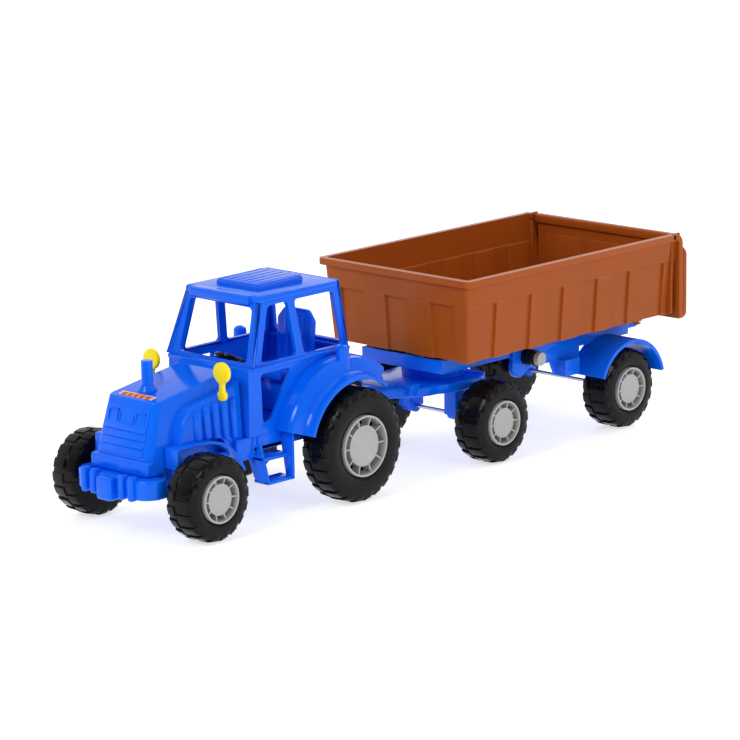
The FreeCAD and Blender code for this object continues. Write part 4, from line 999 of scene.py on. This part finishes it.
piece("gate_panel", bm, "tailgate", BROWN, ["tailgate"])

# %% [markdown]
# ## Dolly
# The dolly carries the trailer's front axle and turns under the turntable. Its plate swells from a narrow
# drawbar to the width of the axle arms in soft curves. A rounded copy of the CAD piece keeps the arms and
# the pin's hole exact, and a slab with the curved outline goes over it.

# %% Drawbar plate and arms
bm = bmesh.new()
rounded_copy(bm, "dolly", 0.7)
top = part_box("dolly")[1][2] / MM
WAVE = [(11, 232), (13, 244), (19, 253), (27, 263), (30, 272), (31, 280), (35, 288), (36.5, 300), (36.5, 322),
        (33, 332), (26, 339)]
outline = WAVE + [(-x, y) for x, y in reversed(WAVE)]
slab(bm, [(x, y, top - 7.6) for x, y in outline], (0, 0, 7.8), 1.4, 3)
for hand in (-1, 1):
    block(bm, (hand * 13, 254, top - 6), (hand * 26, 265, top + 3.2), 1.0, 3)
piece("dolly_plate", bm, "dolly", BLUE, ["dolly"])

# %% [markdown]
# ## Studio
# A pale floor that runs out of sight, a white surround and three broad soft lamps give an even light with
# hardly any shadow. The surround fades to grey on one side, so that glossy faces on that side keep their
# deep colour. The paper also glows a little, because one lamp strong enough to whiten it would burn out
# the toy.

# %% Floor and light
bm = bmesh.new()
bmesh.ops.create_grid(bm, x_segments=2, y_segments=2, size=14.0)
floor_mesh = bpy.data.meshes.new("floor")
bm.to_mesh(floor_mesh)
bm.free()
floor = bpy.data.objects.new("floor", floor_mesh)
bpy.context.scene.collection.objects.link(floor)
paper = bpy.data.materials.new("floor_paper")
paper.use_nodes = True
surface = paper.node_tree.nodes["Principled BSDF"].inputs
surface["Base Color"].default_value = (0.62, 0.62, 0.62, 1)
surface["Roughness"].default_value = 0.6
surface["Emission Color"].default_value = (1, 1, 1, 1)
surface["Emission Strength"].default_value = 0.66
floor_mesh.materials.append(paper)
floor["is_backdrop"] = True

world = bpy.data.worlds.new("surround")
world.use_nodes = True
sky, wires = world.node_tree.nodes, world.node_tree.links
direction = sky.new("ShaderNodeTexCoord")
facing = sky.new("ShaderNodeVectorMath")
facing.operation = "DOT_PRODUCT"
facing.inputs[1].default_value = (-0.68, 0.73, 0.1)
wires.new(direction.outputs["Generated"], facing.inputs[0])
fade = sky.new("ShaderNodeMapRange")
for socket, value in (("From Min", -0.6), ("From Max", 0.3), ("To Min", 0.22), ("To Max", 1.0)):
    fade.inputs[socket].default_value = value
wires.new(facing.outputs["Value"], fade.inputs["Value"])
wires.new(fade.outputs["Result"], sky["Background"].inputs["Strength"])
sky["Background"].inputs["Color"].default_value = (1, 1, 1, 1)
bpy.context.scene.world = world


def lamp(name, place, aim, size, power):
    data = bpy.data.lights.new(name, "AREA")
    data.size = size
    data.energy = power
    made = bpy.data.objects.new(name, data)
    made.location = place
    made.rotation_mode = "QUATERNION"
    made.rotation_quaternion = (Vector(aim) - Vector(place)).to_track_quat("-Z", "Y")
    bpy.context.scene.collection.objects.link(made)


lamp("key", (0.2, -2.4, 1.9), (0, 0, 0.05), 0.8, 30)
lamp("side", (2.6, -0.3, 1.3), (0, 0, 0.05), 0.9, 18)
lamp("back", (-0.6, 2.2, 1.8), (0, 0, 0.1), 1.2, 14)
bpy.context.scene.view_settings.view_transform = "Standard"

# %% [markdown]
# ## Camera
# A toy is best shown from its front corner, a little above, so that the hood, one side and the inside of
# the bed are all seen. The camera stands almost three metres away with a long lens, which keeps the
# near wheels from looking larger than the far ones.

# %% Camera
AZIMUTH, ELEVATION, ROLL = math.radians(43.06), math.radians(12.68), math.radians(-0.7)
back = Vector((math.sin(AZIMUTH) * math.cos(ELEVATION), -math.cos(AZIMUTH) * math.cos(ELEVATION),
               math.sin(ELEVATION)))
right = Vector((0, 0, 1)).cross(back).normalized()
up = back.cross(right)
rolled = (right * math.cos(ROLL) + up * math.sin(ROLL), up * math.cos(ROLL) - right * math.sin(ROLL), back)
camera_data = bpy.data.cameras.new("camera")
camera_data.sensor_width = 36.0
camera_data.lens = 192.4
camera_data.clip_end = 60.0
camera = bpy.data.objects.new("camera", camera_data)
camera.matrix_world = Matrix.Translation(at(2023.9, -1929.5, 743.3)) @ Matrix(rolled).transposed().to_4x4()
bpy.context.scene.collection.objects.link(camera)
bpy.context.scene.camera = camera
print("camera at", [round(c, 2) for c in camera.matrix_world.translation], "lens", camera_data.lens)

# %% [markdown]
# ## Sizes
# The bounds of all finished pieces, the floor left out, are printed at the end.

# %% Sizes, and the last line
low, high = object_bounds()
print("visual model:", [round(c, 4) for c in low], "to", [round(c, 4) for c in high])
